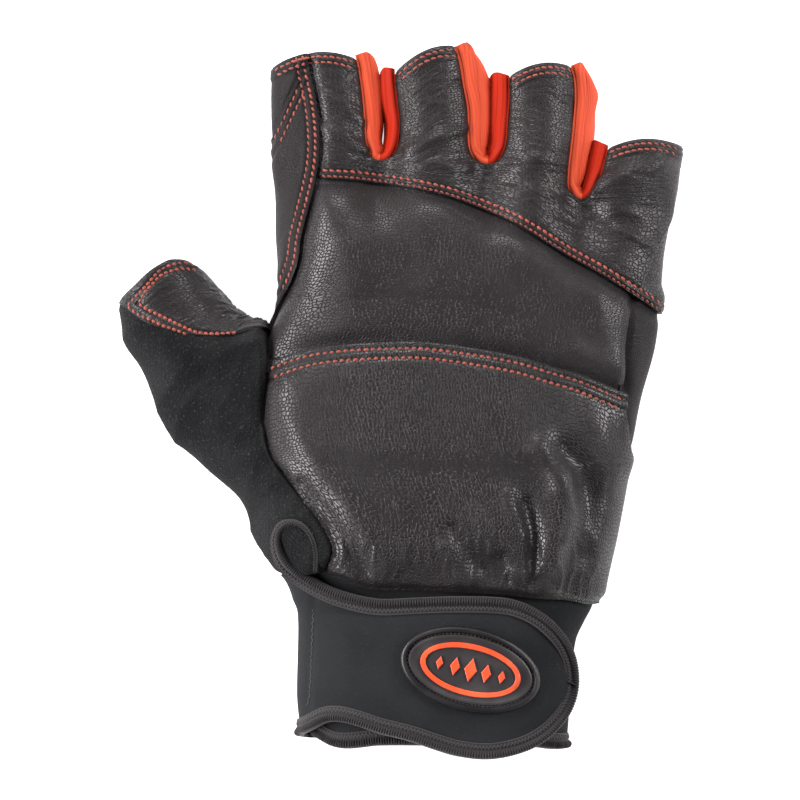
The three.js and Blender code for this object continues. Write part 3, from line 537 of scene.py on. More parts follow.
# Shader helpers
def addNode(tree, kind, at, settings=None, values=None):
    node = tree.nodes.new(kind)
    node.location = at
    for name, value in (settings or {}).items():
        setattr(node, name, value)
    setInputs(node, values or {})
    return node


def setInputs(node, values):
    for name, value in values.items():
        node.inputs[name].default_value = value


def mathNode(tree, operation, at, first, second, clamp=False):
    node = addNode(tree, "ShaderNodeMath", at, {"operation": operation, "use_clamp": clamp})
    for index, value in enumerate((first, second)):
        if isinstance(value, (int, float)):
            node.inputs[index].default_value = value
        elif value is not None:
            tree.links.new(value, node.inputs[index])
    return node.outputs[0]


def noiseNode(tree, at, source, values):
    node = addNode(tree, "ShaderNodeTexNoise", at, None, values)
    tree.links.new(source, node.inputs["Vector"])
    return node.outputs[0]


def attributeNode(tree, at, name):
    return addNode(tree, "ShaderNodeAttribute", at, {"attribute_name": name}).outputs["Fac"]


def rampNode(tree, at, source, low, high, lowTo=0.0, highTo=1.0):
    node = addNode(tree, "ShaderNodeMapRange", at, {"interpolation_type": "SMOOTHSTEP"})
    setInputs(node, {"From Min": low, "From Max": high, "To Min": lowTo, "To Max": highTo})
    tree.links.new(source, node.inputs["Value"])
    return node.outputs["Result"]


def newGroup(name, inputs, outputs):
    tree = bpy.data.node_groups.new(name, "ShaderNodeTree")
    for label, kind, value in inputs:
        socket = tree.interface.new_socket(name=label, in_out="INPUT", socket_type=kind)
        if value is not None:
            socket.default_value = value
    for label, kind in outputs:
        tree.interface.new_socket(name=label, in_out="OUTPUT", socket_type=kind)
    return tree, addNode(tree, "NodeGroupInput", (-900, 0)), addNode(tree, "NodeGroupOutput", (900, 0))


def makeGrainGroup():
    tree, given, made = newGroup(
        "leatherGrain",
        [("Vector", "NodeSocketVector", None), ("Pebble Scale", "NodeSocketFloat", 1100.0),
         ("Pebble Shape", "NodeSocketVector", (1.0, 1.0, 1.0)), ("Pebble Amount", "NodeSocketFloat", 1.0),
         ("Crease Amount", "NodeSocketFloat", 0.5),
         ("Crease Across", "NodeSocketVector", (90.0, 480.0, 90.0))],
        [("Height", "NodeSocketFloat"), ("Pore Shade", "NodeSocketFloat"), ("Patch", "NodeSocketFloat")],
    )
    link = tree.links.new
    warp = addNode(tree, "ShaderNodeTexNoise", (-700, 300), None, {"Scale": 130.0, "Detail": 2.0})
    link(given.outputs["Vector"], warp.inputs["Vector"])
    shift = addNode(tree, "ShaderNodeVectorMath", (-520, 300), {"operation": "MULTIPLY_ADD"})
    link(warp.outputs["Color"], shift.inputs[0])
    shift.inputs[1].default_value = (0.003, 0.003, 0.003)
    link(given.outputs["Vector"], shift.inputs[2])
    shaped = addNode(tree, "ShaderNodeVectorMath", (-430, 420), {"operation": "MULTIPLY"})
    link(shift.outputs[0], shaped.inputs[0])
    link(given.outputs["Pebble Shape"], shaped.inputs[1])
    pebble = addNode(tree, "ShaderNodeTexVoronoi", (-340, 300),
                     {"voronoi_dimensions": "2D", "feature": "DISTANCE_TO_EDGE"},
                     {"Randomness": 0.85})
    link(shaped.outputs[0], pebble.inputs["Vector"])
    link(given.outputs["Pebble Scale"], pebble.inputs["Scale"])
    dome = rampNode(tree, (-150, 300), pebble.outputs["Distance"], 0.0, 0.2)
    fine = noiseNode(tree, (-340, 40), given.outputs["Vector"], {"Scale": 2600.0, "Detail": 2.0})
    stretched = addNode(tree, "ShaderNodeVectorMath", (-520, -180), {"operation": "MULTIPLY"})
    link(shift.outputs[0], stretched.inputs[0])
    link(given.outputs["Crease Across"], stretched.inputs[1])
    crease = noiseNode(tree, (-340, -180), stretched.outputs[0],
                       {"Scale": 1.0, "Detail": 2.0, "Roughness": 0.5})
    centred = mathNode(tree, "SUBTRACT", (-160, -180), crease, 0.5)
    creased = mathNode(tree, "MULTIPLY", (200, -180), centred, given.outputs["Crease Amount"])
    low = mathNode(tree, "MULTIPLY", (200, 40), fine, 0.2)
    domed = mathNode(tree, "MULTIPLY", (200, 200), dome, given.outputs["Pebble Amount"])
    height = mathNode(tree, "ADD", (380, 200), mathNode(tree, "ADD", (300, 200), domed, low), creased)
    patch = noiseNode(tree, (-340, -420), given.outputs["Vector"], {"Scale": 42.0, "Detail": 3.0})
    link(height, made.inputs["Height"])
    # Pore Shade mask: 0 in the grooves between pebbles, 1 on the domes; it paints shade into the grooves and makes
    # them rougher
    link(rampNode(tree, (380, 60), dome, 0.2, 1.0), made.inputs["Pore Shade"])
    link(patch, made.inputs["Patch"])
    return tree


def makeClothGroup():
    tree, given, made = newGroup(
        "clothFuzz",
        [("Vector", "NodeSocketVector", None), ("Scale", "NodeSocketFloat", 1800.0)],
        [("Height", "NodeSocketFloat"), ("Speck", "NodeSocketFloat"), ("Patch", "NodeSocketFloat")],
    )
    link = tree.links.new
    fuzz = addNode(tree, "ShaderNodeTexNoise", (-400, 200), None, {"Detail": 4.0, "Roughness": 0.7})
    link(given.outputs["Vector"], fuzz.inputs["Vector"])
    link(given.outputs["Scale"], fuzz.inputs["Scale"])
    knit = addNode(tree, "ShaderNodeTexVoronoi", (-400, -60), {"feature": "F1"}, {"Randomness": 0.7})
    link(given.outputs["Vector"], knit.inputs["Vector"])
    link(given.outputs["Scale"], knit.inputs["Scale"])
    dust = noiseNode(tree, (-400, -320), given.outputs["Vector"],
                     {"Scale": 1500.0, "Detail": 2.0, "Roughness": 0.8})
    patch = noiseNode(tree, (-400, -560), given.outputs["Vector"], {"Scale": 60.0, "Detail": 4.0})
    half = mathNode(tree, "MULTIPLY", (-160, -60), knit.outputs["Distance"], 0.6)
    link(mathNode(tree, "ADD", (40, 80), fuzz.outputs[0], half), made.inputs["Height"])
    link(rampNode(tree, (-160, -320), dust, 0.58, 0.74), made.inputs["Speck"])
    link(patch, made.inputs["Patch"])
    return tree


grainGroup = makeGrainGroup()
clothGroup = makeClothGroup()


def newMaterial(name, roughness):
    material = bpy.data.materials.new(name)
    material.use_nodes = True
    tree = material.node_tree
    shader = tree.nodes["Principled BSDF"]
    shader.inputs["Roughness"].default_value = roughness
    place = addNode(tree, "ShaderNodeTexCoord", (-1200, 0))
    return material, tree, shader, place


def mixColour(tree, at, share, first, second):
    node = addNode(tree, "ShaderNodeMix", at, {"data_type": "RGBA"})
    tree.links.new(share, node.inputs[0])
    for index, value in ((6, first), (7, second)):
        if isinstance(value, tuple):
            node.inputs[index].default_value = (*value, 1.0)
        else:
            tree.links.new(value, node.inputs[index])
    return node.outputs[2]


def bumpInto(tree, shader, height, distance):
    bump = addNode(tree, "ShaderNodeBump", (-200, -300), None, {"Distance": distance, "Strength": 1.0})
    tree.links.new(height, bump.inputs["Height"])
    tree.links.new(bump.outputs[0], shader.inputs["Normal"])


def leatherMaterial(name, look):
    material, tree, shader, place = newMaterial(name, look["roughness"])
    grain = addNode(tree, "ShaderNodeGroup", (-900, 0))
    grain.node_tree = grainGroup
    flow = attributeNode(tree, (-1400, -200), "flow")
    across = addNode(tree, "ShaderNodeCombineXYZ", (-1220, -200))
    tree.links.new(flow, across.inputs["Y"])
    moved = addNode(tree, "ShaderNodeVectorMath", (-1060, -60), {"operation": "ADD"})
    tree.links.new(place.outputs["UV"], moved.inputs[0])
    tree.links.new(across.outputs[0], moved.inputs[1])
    tree.links.new(moved.outputs[0], grain.inputs["Vector"])
    setInputs(grain,
              {"Pebble Scale": look["pebbles"], "Pebble Shape": look["shape"],
               "Pebble Amount": look["domes"], "Crease Amount": look["creases"],
               "Crease Across": look["across"]})
    worn = rampNode(tree, (-700, -40), grain.outputs["Patch"], 0.42, 0.66)
    crests = mixColour(tree, (-560, 160), worn, look["colour"], look["worn"])
    # Painted shade: the grooves between pebbles and, through seamShade, the stitch rows take the near-black
    # poreShade colour
    base = mixColour(tree, (-360, 160), grain.outputs["Pore Shade"], look["poreShade"], crests)
    seam = attributeNode(tree, (-700, 380), "seamShade")
    shaded = mixColour(tree, (-180, 240), seam, base, look["poreShade"])
    tree.links.new(shaded, shader.inputs["Base Color"])
    dull = mathNode(tree, "MULTIPLY", (-560, -220),
                    mathNode(tree, "SUBTRACT", (-700, -220), 1.0, grain.outputs["Pore Shade"]), 0.35)
    rough = rampNode(tree, (-360, -120), grain.outputs["Patch"], 0.35, 0.7, look["roughness"] + 0.05,
                     look["roughness"] - 0.05)
    tree.links.new(mathNode(tree, "ADD", (-180, -120), rough, dull), shader.inputs["Roughness"])
    shader.inputs["Specular IOR Level"].default_value = look["gloss"]
    bumpInto(tree, shader, grain.outputs["Height"], look["depth"])
    return material


# poreShade is the near-black colour painted into the pebble grooves and stitch rows as shade
leatherLooks = {
    "pad": {"pebbles": 1150.0, "shape": (0.9, 1.15, 1.0), "domes": 1.0, "creases": 0.8,
            "across": (300.0, 500.0, 300.0),
            "colour": (0.0132, 0.0103, 0.0111), "poreShade": (0.0006, 0.0005, 0.0005),
            "worn": (0.0175, 0.0138, 0.0148),
            "roughness": 0.35, "gloss": 0.48, "depth": 0.00012},
    "finger": {"pebbles": 1550.0, "shape": (0.5, 1.15, 1.0), "domes": 0.7, "creases": 5.0,
               "across": (170.0, 860.0, 170.0),
               "colour": (0.0122, 0.0093, 0.01), "poreShade": (0.0006, 0.0005, 0.0005),
               "worn": (0.0165, 0.0129, 0.0139),
               "roughness": 0.35, "gloss": 0.42, "depth": 0.00008},
    "heel": {"pebbles": 880.0, "shape": (1.15, 0.88, 1.0), "domes": 1.0, "creases": 0.9,
             "across": (420.0, 230.0, 420.0),
             "colour": (0.012, 0.0094, 0.0101), "poreShade": (0.0006, 0.0005, 0.0005),
             "worn": (0.016, 0.0125, 0.0134),
             "roughness": 0.34, "gloss": 0.52, "depth": 0.00014},
    "side": {"pebbles": 1700.0, "shape": (1.0, 1.0, 1.0), "domes": 0.8, "creases": 3.0,
             "across": (160.0, 420.0, 160.0),
             "colour": (0.0092, 0.007, 0.0076), "poreShade": (0.004, 0.0032, 0.0034),
             "worn": (0.012, 0.0094, 0.0102),
             "roughness": 0.5, "gloss": 0.25, "depth": 0.00007},
}
leather = {name: leatherMaterial("leather_" + name, look) for name, look in leatherLooks.items()}


def clothMaterial(name, look):
    material, tree, shader, place = newMaterial(name, look["roughness"])
    fuzz = addNode(tree, "ShaderNodeGroup", (-900, 0))
    fuzz.node_tree = clothGroup
    tree.links.new(place.outputs["Object"], fuzz.inputs["Vector"])
    fuzz.inputs["Scale"].default_value = look["scale"]
    varied = mixColour(tree, (-500, 160), rampNode(tree, (-700, 60), fuzz.outputs["Patch"], 0.35, 0.7),
                       look["colour"],
                       look["light"])
    specked = mixColour(tree, (-300, 160), fuzz.outputs["Speck"], varied, look["speck"])
    # Painted shade: the seamShade mask darkens the cloth to the near-black seam colour along the leather edge of
    # the thumb, in the gap beside the vent loop and in the vent slot
    seam = attributeNode(tree, (-500, 380), "seamShade")
    tree.links.new(mixColour(tree, (-140, 240), seam, specked, look["seam"]), shader.inputs["Base Color"])
    setInputs(shader, {"Sheen Weight": look["sheen"], "Sheen Roughness": 0.5,
                       "Sheen Tint": (*look["tint"], 1.0), "Specular IOR Level": look["gloss"]})
    bumpInto(tree, shader, fuzz.outputs["Height"], look["depth"])
    return material


# seam is the near-black colour painted as shade where the seamShade attribute is set
clothLooks = {
    "brushed_thumb_fabric": {"scale": 1300.0, "colour": (0.0075, 0.0081, 0.0087),
                             "light": (0.015, 0.0158, 0.0166),
                             "speck": (0.05, 0.052, 0.054), "seam": (0.003, 0.003, 0.003), "sheen": 0.05,
                             "tint": (0.5, 0.53, 0.56), "gloss": 0.1, "roughness": 0.95, "depth": 0.0005},
    "stretch_back_fabric": {"scale": 1900.0, "colour": (0.009, 0.0096, 0.0104),
                            "light": (0.013, 0.014, 0.015),
                            "speck": (0.022, 0.023, 0.025), "seam": (0.003, 0.003, 0.003), "sheen": 0.08,
                            "tint": (0.5, 0.53, 0.56), "gloss": 0.2, "roughness": 0.9, "depth": 0.0002},
    "neoprene_jersey": {"scale": 2300.0, "colour": (0.0165, 0.0178, 0.0192),
                        "light": (0.021, 0.0225, 0.0242),
                        "speck": (0.029, 0.031, 0.033), "seam": (0.004, 0.004, 0.004), "sheen": 0.02,
                        "tint": (0.6, 0.64, 0.68), "gloss": 0.08, "roughness": 0.9, "depth": 0.00012},
}
cloth = {name: clothMaterial(name, look) for name, look in clothLooks.items()}


def stretchMaterial():
    look = {"lit": (0.63, 0.085, 0.036), "paintedShade": (0.34, 0.012, 0.002), "ribPitch": 0.0005, "ribs": 0.0036}
    material, tree, shader, place = newMaterial("orange_stretch_knit", 0.62)
    across = attributeNode(tree, (-1000, 0), "fromSeam")
    phase = mathNode(tree, "MULTIPLY", (-820, 0), across, 2 * math.pi / look["ribPitch"])
    wave = mathNode(tree, "COSINE", (-640, 0), phase, None)
    near = rampNode(tree, (-820, -200), across, look["ribs"] * 0.5, look["ribs"] * 1.3, 1.0, 0.0)
    rib = mathNode(tree, "MULTIPLY", (-460, 0), wave, near)
    knit = noiseNode(tree, (-820, -420), place.outputs["Object"], {"Scale": 2400.0, "Detail": 3.0})
    height = mathNode(tree, "ADD", (-280, -100), rib, mathNode(tree, "MULTIPLY", (-460, -420), knit, 0.5))
    # Painted shade: the rib troughs near the seam and, through the deepShade attribute, the shaded gap limbs take
    # the darker paintedShade orange
    shade = rampNode(tree, (-460, 200), rib, -1.0, 0.4, 0.25, 0.0)
    colour = mixColour(tree, (-260, 200), shade, look["lit"], look["paintedShade"])
    side = attributeNode(tree, (-460, 420), "deepShade")
    tree.links.new(mixColour(tree, (-80, 260), side, colour, look["paintedShade"]), shader.inputs["Base Color"])
    setInputs(shader,
              {"Sheen Weight": 0.03, "Sheen Tint": (1.0, 0.4, 0.2, 1.0), "Specular IOR Level": 0.12})
    bumpInto(tree, shader, height, 0.00006)
    return material


def tapeMaterial():
    material, tree, shader, place = newMaterial("knit_binding_tape", 0.72)
    # seamShade on the tape paints it lighter: on the zigzag stitch, and as painted highlight on the stitched edge
    # lip and the rib crests
    stitchAndHighlight = attributeNode(tree, (-900, 300), "seamShade")
    knit = noiseNode(tree, (-900, 0), place.outputs["Object"], {"Scale": 2200.0, "Detail": 3.0})
    patch = noiseNode(tree, (-900, -260), place.outputs["Object"], {"Scale": 160.0, "Detail": 2.0})
    body = mixColour(tree, (-600, 60), patch, (0.0055, 0.005, 0.0056), (0.0135, 0.0124, 0.0138))
    edged = mixColour(tree, (-400, 160), stitchAndHighlight, body, (0.07, 0.066, 0.068))
    tree.links.new(edged, shader.inputs["Base Color"])
    setInputs(shader,
              {"Sheen Weight": 0.15, "Sheen Tint": (0.7, 0.68, 0.7, 1.0), "Specular IOR Level": 0.35})
    bumpInto(tree, shader, knit, 0.00012)
    return material


def rubberMaterial(name, look):
    material, tree, shader, place = newMaterial(name, look["roughness"])
    grain = noiseNode(tree, (-800, 0), place.outputs["Object"], {"Scale": 1400.0, "Detail": 3.0})
    wear = noiseNode(tree, (-800, 260), place.outputs["Object"], {"Scale": 120.0, "Detail": 3.0})
    worn = rampNode(tree, (-600, 260), wear, 0.4, 0.75)
    tree.links.new(mixColour(tree, (-400, 200), worn, look["colour"], look["worn"]),
                   shader.inputs["Base Color"])
    rough = rampNode(tree, (-400, -60), wear, 0.35, 0.7, look["roughness"] - 0.05, look["roughness"] + 0.06)
    tree.links.new(rough, shader.inputs["Roughness"])
    bumpInto(tree, shader, grain, look["depth"])
    return material


def threadMaterial(name, dark, light):
    material, tree, shader, place = newMaterial(name, 0.55)
    tone = attributeNode(tree, (-700, 200), "tone")
    tree.links.new(mixColour(tree, (-400, 160), tone, dark, light), shader.inputs["Base Color"])
    ply = noiseNode(tree, (-700, -100), place.outputs["Object"], {"Scale": 3200.0, "Detail": 2.0})
    shader.inputs["Sheen Weight"].default_value = 0.2
    bumpInto(tree, shader, ply, 0.0001)
    return material


orangeKnit = stretchMaterial()
tapeKnit = tapeMaterial()
thread = threadMaterial("orange_thread", (0.13, 0.018, 0.01), (0.36, 0.057, 0.026))
darkThread = threadMaterial("black_thread", (0.002, 0.002, 0.002), (0.012, 0.011, 0.012))
rubber = {
    "plate": rubberMaterial("badge_rubber", {"roughness": 0.42, "colour": (0.03, 0.028, 0.03),
                                             "worn": (0.045, 0.042, 0.045),
                                             "depth": 0.00002}),
    "rim": rubberMaterial("badge_rim_rubber", {"roughness": 0.42, "colour": (0.008, 0.008, 0.009),
                                               "worn": (0.013, 0.013, 0.014), "depth": 0.00003}),
    "orange": rubberMaterial("orange_rubber", {"roughness": 0.45, "colour": (0.78, 0.085, 0.025),
                                               "worn": (0.86, 0.13, 0.045), "depth": 0.00002}),
}
print("materials made")

rows = {
    "upper": (0.0005, 0.002),  # stitch rows, distance from the edge of the lapping panel
    "lower": (0.00185, 0.0043),
    "index": (0.0011, 0.0029),
    "hem": (0.0013, 0.0028),
    "gusset": (0.0008, 0.0026),
}
lap = {
    "rise": 0.0005,  # how far a lapping edge stands up
    "sink": 0.0011,  # how far the leather under it goes down
    "under": 0.0026,  # how far it runs on underneath
    "groove": 0.0003,
}


def grooves(distance, rows):
    return sum(-lap["groove"] * bell(distance - row, 0.0005) for row in rows)


def rowShade(distance, rows):
    return sum(0.8 * bell(distance - row, 0.0005) for row in rows)


def leftSeamX(y):
    return np.where(y > 0.0189, seamX(indexEdge, y), seamX(thumbEdge, y))


def heelRight(along):
    y = hand["heelY"] + along * hand["length"]
    outer = girthAt(along, seamX(outerEdge, y))
    return outer + (backRight(along) - outer) * ease(-0.013, -0.022, y)


def slopeShare(table, x):
    step = 0.0005
    slope = (seamY(table, x + step) - seamY(table, x - step)) / (2 * step)
    return 1 / np.sqrt(1 + slope ** 2)


def makePalmPad():
    size = {"columns": 176, "rows": 84, "puff": 0.0009, "reach": 0.0026}
    along, girth = solveGrid(
        lambda a: girthAt(a, leftSeamX(hand["heelY"] + a * hand["length"]) - 0.0012),
        lambda a: girthAt(a, seamX(outerEdge, hand["heelY"] + a * hand["length"])),
        lambda x: seamY(lowerEdge, x) - lap["under"],
        lambda x: seamY(upperEdge, x) + lap["under"],
        size["columns"], size["rows"])
    points = handPoint(along, girth)
    x, y = points[..., 0], points[..., 1]
    low = (y - seamY(lowerEdge, x)) * slopeShare(lowerEdge, x)
    high = (seamY(upperEdge, x) - y) * slopeShare(upperEdge, x)
    left = x - leftSeamX(y)
    right = seamX(outerEdge, y) - x
    inside = 1.0
    for distance in (low - 0.0003, high - 0.0003, left):
        inside = inside * (1 - np.exp(-((np.maximum(distance, 0) / size["reach"]) ** 1.4)))
    edge = 1 - np.exp(-((np.maximum(right, 0) / 0.0012) ** 1.4))
    bumps = softNoise(x * 130, y * 110, 4) * 0.0005 + softNoise(x * 60, y * 70, 5) * 0.0009
    bumps = bumps + creaseLift(x, y, padCreases)
    sink = lap["sink"] * (1 - 0.9 * ease(-0.016, -0.03, x) * ease(0.009, 0.003, low))
    lift = -sink + inside * (sink + size["puff"] + bumps) - 0.0011 * (1 - edge)
    piece = gridPiece("palmPad", lifted(points, lift))
    finishPiece(piece, leather["pad"], ["palm_pad"], hand["wall"])
    return piece


def makeHeel():
    size = {"columns": 214, "rows": 124}
    along, girth = solveGrid(
        lambda a: girthAt(a, seamX(thumbEdge, hand["heelY"] + a * hand["length"])),
        heelRight,
        lambda x: seamY(heelEdge, x),
        lambda x: seamY(lowerEdge, x),
        size["columns"], size["rows"], 0.3)
    points = handPoint(along, girth)
    x, y = points[..., 0], points[..., 1]
    high = (seamY(lowerEdge, x) - y) * slopeShare(lowerEdge, x)
    low = y - seamY(heelEdge, x)
    left = x - seamX(thumbEdge, y)
    flank = ease(-0.02, 0.06, backRight(along) - girth) * ease(0.2, 0.8, np.sin(turnAt(girth)))
    dent = softNoise(x * 55, y * 42, 8) * 0.0008 + softNoise(x * 140, y * 95, 9) * 0.0003
    dent = dent + creaseLift(x, y, heelCreases)
    lip = softNoise(y * 900, y * 0 + 3, 12) + softNoise(y * 1900, y * 0 + 9, 13) * 0.6
    raw = ease(-0.023, -0.028, y) * ease(-0.0455, -0.042, y)
    strain = np.maximum(0, 1 - np.abs(softNoise(x * 330 + softNoise(x * 60, y * 60, 3) * 1.5, y * 110,
                                                11)) * 3.0) ** 2
    crinkle = strain * 0.0004 * ease(-0.028, -0.042, y)
    lift = lap["rise"] * bell(high, 0.004) - 0.0004 * bell(high, 0.0006)
    lift = lift - 0.0013 * bell(np.maximum(left, 0), 0.002) - 0.0014 * bell(low, 0.0016)
    lift = lift + (dent + crinkle) * flank * ease(0, 0.006, high) * ease(0, 0.004, low) * ease(0, 0.003,
                                                                                               left)
    lift = lift + raw * (0.0011 + lip * 0.0005) * bell(left, 0.0012)
    right = seamX(outerEdge, y) - x
    lift = lift + 0.0006 * bell(right, 0.0022) * ease(-0.022, -0.016, y)
    lift = lift + grooves(high, rows["lower"]) + 0.0002 * bell(high - 0.0031, 0.0007)
    lift = lift + 0.00025 * bell(high - 0.0005, 0.0004)
    points[..., 0] += raw * lip * 0.0005 * bell(left, 0.001)
    shade = rowShade(high, rows["lower"])
    piece = gridPiece("heelPanel", lifted(points, lift), (), {"seamShade": shade})
    return finishPiece(piece, leather["heel"], ["heel_panel"], hand["wall"])


def makeOuterSide():
    size = {"columns": 56, "rows": 150}

    def leftGirth(a):
        return heelRight(a) - ease(-0.0218, -0.016, hand["heelY"] + a * hand["length"]) * 0.012
    along, girth = solveGrid(
        leftGirth, backRight,
        lambda x: np.full_like(x, -0.0215),
        lambda x: seamY(upperEdge, x) + lap["under"],
        size["columns"], size["rows"], 0.4)
    points = handPoint(along, girth)
    x, y = points[..., 0], points[..., 1]
    high = (seamY(upperEdge, x) - y) * slopeShare(upperEdge, x)
    crease = softNoise(x * 90, y * 160, 21) * 0.0008
    folded = np.maximum(0, 1 - np.abs(softNoise(x * 120, y * 380, 22)) * 3.2) ** 2 * 0.0003
    crease = (crease + folded + creaseLift(x, y, sideCreases)) * ease(0.3, 0.8, np.sin(turnAt(girth)))
    groove = 0.0009 * bell(x - seamX(outerEdge, y), 0.0013) * ease(-0.02, -0.014, y)
    lift = crease - 0.0006 - groove - lap["sink"] * 0.6 * bell(np.maximum(high, 0), 0.002)
    piece = gridPiece("outerSidePanel", lifted(points, lift))
    return finishPiece(piece, leather["side"], ["outer_side_panel"], hand["wall"])


def hemY(finger, x):
    share = (x / hand["width"] - finger["crestAt"]) / finger["span"]
    return hand["heelY"] + hand["length"] * (finger["crest"] - hemFall * share ** 2)


def fingerEdges(number, shrink=0.0):
    gapBefore = gaps[number - 1] if number > 0 else None
    gapAfter = gaps[number] if number < 3 else None

    def leftX(y):
        if gapBefore is None:
            return seamX(indexEdge, y)
        return seamX(gapBefore["right"], y) - shrink * column(gapBefore["reachRight"], "y", "reach",
                                                              y / mm) * mm

    def rightX(y):
        return seamX(gapAfter["left"], y) + shrink * column(gapAfter["reachLeft"], "y", "reach",
                                                            y / mm) * mm
    return leftX, rightX


def makeFingerPanel():
    size = {"seamRows": 76, "hemRows": 104, "edgeRoll": 0.0009}
    blocks = []
    shades = []
    flows = []
    skipped = []
    start = 0
    count = size["seamRows"] + size["hemRows"]
    low = np.linspace(0, 1, size["seamRows"], endpoint=False)
    high = np.linspace(0, 1, size["hemRows"]) ** 1.15
    for number, finger in enumerate(fingers):
        leftX, rightX = fingerEdges(number)
        u = np.linspace(0, 1, finger["columns"])[None, :]
        along = np.full((count, finger["columns"]), 0.8)
        for step in range(12):
            y = hand["heelY"] + along * hand["length"]
            if number == 0:
                left = girthAt(along, leftX(y) - 0.0022)
            else:
                left = girthAt(along, leftX(y))
            right = backRight(along) if number == 3 else girthAt(along, rightX(y))
            girth = left + (right - left) * u
            x = handPoint(along, girth)[..., 0]
            seamLow = seamY(upperEdge, x)
            crotch = seamY(crotchLine, x)
            hem = np.maximum(hemY(finger, x), crotch + 0.004)
            y = np.concatenate([
                seamLow[:size["seamRows"]] + (crotch - seamLow)[:size["seamRows"]] * low[:, None],
                crotch[size["seamRows"]:] + (hem - crotch)[size["seamRows"]:] * high[:, None]])
            along = alongOf(y)
        points = handPoint(along, girth)
        x, y = points[..., 0], points[..., 1]
        fromSeam = (y - seamY(upperEdge, x)) * slopeShare(upperEdge, x)
        fromHem = hemY(finger, x) - y
        inGap = ease(-0.0005, 0.002, y - seamY(crotchLine, x))
        lift = lap["rise"] * bell(fromSeam, 0.005) - 0.0004 * bell(fromSeam, 0.0005)
        shade = rowShade(fromSeam, rows["upper"])
        lift = lift + grooves(fromSeam, rows["upper"])
        hemCurve = np.sqrt(1 + (np.gradient(hemY(finger, x), axis=1) / np.maximum(np.gradient(x, axis=1),
                                                                                  1e-5)) ** 2)
        hemDistance = fromHem / np.clip(hemCurve, 1, 1.6)
        lift = lift + 0.0004 * ease(0.0042, 0.003, hemDistance) - 0.0006 * bell(hemDistance, 0.0006)
        lift = lift + grooves(hemDistance, rows["hem"])
        shade = shade + rowShade(hemDistance, rows["hem"])
        if number > 0:
            lift = lift - size["edgeRoll"] * inGap * bell(x - leftX(y), 0.0008)
        else:
            lift = lift - lap["sink"] * bell(np.maximum(x - leftX(y), 0), 0.0018)
        if number < 3:
            lift = lift - size["edgeRoll"] * inGap * bell(x - rightX(y), 0.0008)
        clear = ease(0.0038, 0.008, fromSeam) * ease(0.0036, 0.006,
                                                     hemDistance) * ease(0.1, 0.7, np.sin(turnAt(girth)))
        flow = -column(wrinkleFlow, "x", "y", x / mm) * mm
        warp = softNoise(x * 45, y * 60, 31) * 1.6
        lines = softNoise(x * 150 + warp, (y + flow) * 620 + warp * 3, 33)
        broad = softNoise(x * 60 + warp, (y + flow) * 190 + warp, 35)
        amount = 0.6 + softNoise(x * 50, y * 50, 37)
        lift = lift + clear * (lines * 0.00035 * np.clip(amount, 0.1, 1) + broad * 0.0004)
        lift = lift + clear * creaseLift(x, y, fingerCreases)
        if number == 3:
            beyond = x - seamX(sideFold, y)
            lift = lift - 0.001 * ease(0, 0.0009, beyond) * ease(0.027, 0.031, y) * ease(0.056, 0.05, y)
        blocks.append(lifted(points, lift))
        shades.append(shade)
        flows.append(flow)
        start += finger["columns"]
        skipped.append(start - 1)
    points = np.concatenate(blocks, axis=1)
    total = points.shape[1]
    faces = [row * (total - 1) + gap for gap in skipped[:3] for row in range(count - 1)]
    piece = gridPiece("fingerPanel", points, faces,
                      {"seamShade": np.clip(np.concatenate(shades, axis=1), 0, 1),
                                                     "flow": np.concatenate(flows, axis=1)})
    return finishPiece(piece, leather["finger"], ["finger_panel"], hand["wall"])


def makeIndexSide():
    size = {"columns": 52, "rows": 128, "gussetRows": 60}

    def rightGirth(a):
        return girthAt(a, seamX(indexEdge, hand["heelY"] + a * hand["length"]))

    def lift(points):
        x, y = points[..., 0], points[..., 1]
        inward = (seamX(indexEdge, y) - x) * 0.97
        hem = hemY(fingers[0], x) - y
        raised = lap["rise"] * bell(inward, 0.005) - 0.0004 * bell(inward, 0.0005)
        raised = raised + grooves(inward, rows["index"])
        raised = raised + 0.0004 * ease(0.0042, 0.003, hem) - 0.0006 * bell(hem, 0.0006)
        raised = raised + softNoise(x * 90, y * 70, 41) * 0.0008 * ease(0.0036, 0.006, inward)
        shade = rowShade(inward, rows["index"])
        return raised, shade

    pieces = []
    for name, node, lowY, highY, count, start in (
        ("indexSidePanel", "index_side_panel", lambda x: np.full_like(x, 0.0165), lambda x: np.minimum(
            seamY(gussetEdge, x), hemY(fingers[0], x)), size["rows"], 0.6),
        ("indexGusset", "index_gusset",
         lambda x: np.minimum(seamY(gussetEdge, x) - 0.0012, hemY(fingers[0], x) - 0.0012),
         lambda x: hemY(fingers[0], x), size["gussetRows"], 0.9),
    ):
        along, girth = solveGrid(backLeft, rightGirth, lowY, highY, size["columns"], count, start)
        points = handPoint(along, girth)
        raised, shade = lift(points)
        if node == "index_gusset":
            raised = raised - 0.0005
            side = points[..., 1] - seamY(gussetEdge, points[..., 0])
            raised = raised + 0.0003 * ease(0.001, 0.004, side)
        else:
            side = (seamY(gussetEdge, points[..., 0]) - points[..., 1]) * 0.45
            raised = raised + grooves(side, rows["gusset"])
            shade = shade + rowShade(side, rows["gusset"])
        piece = gridPiece(name, lifted(points, raised), (), {"seamShade": np.clip(shade, 0, 1)})
        pieces.append(finishPiece(piece, leather["side"], [node], hand["wall"]))
    return pieces


makePalmPad()
heelPanel = makeHeel()
outerSide = makeOuterSide()
fingerPanel = makeFingerPanel()
indexSide, indexGusset = makeIndexSide()
print("leather panels made")

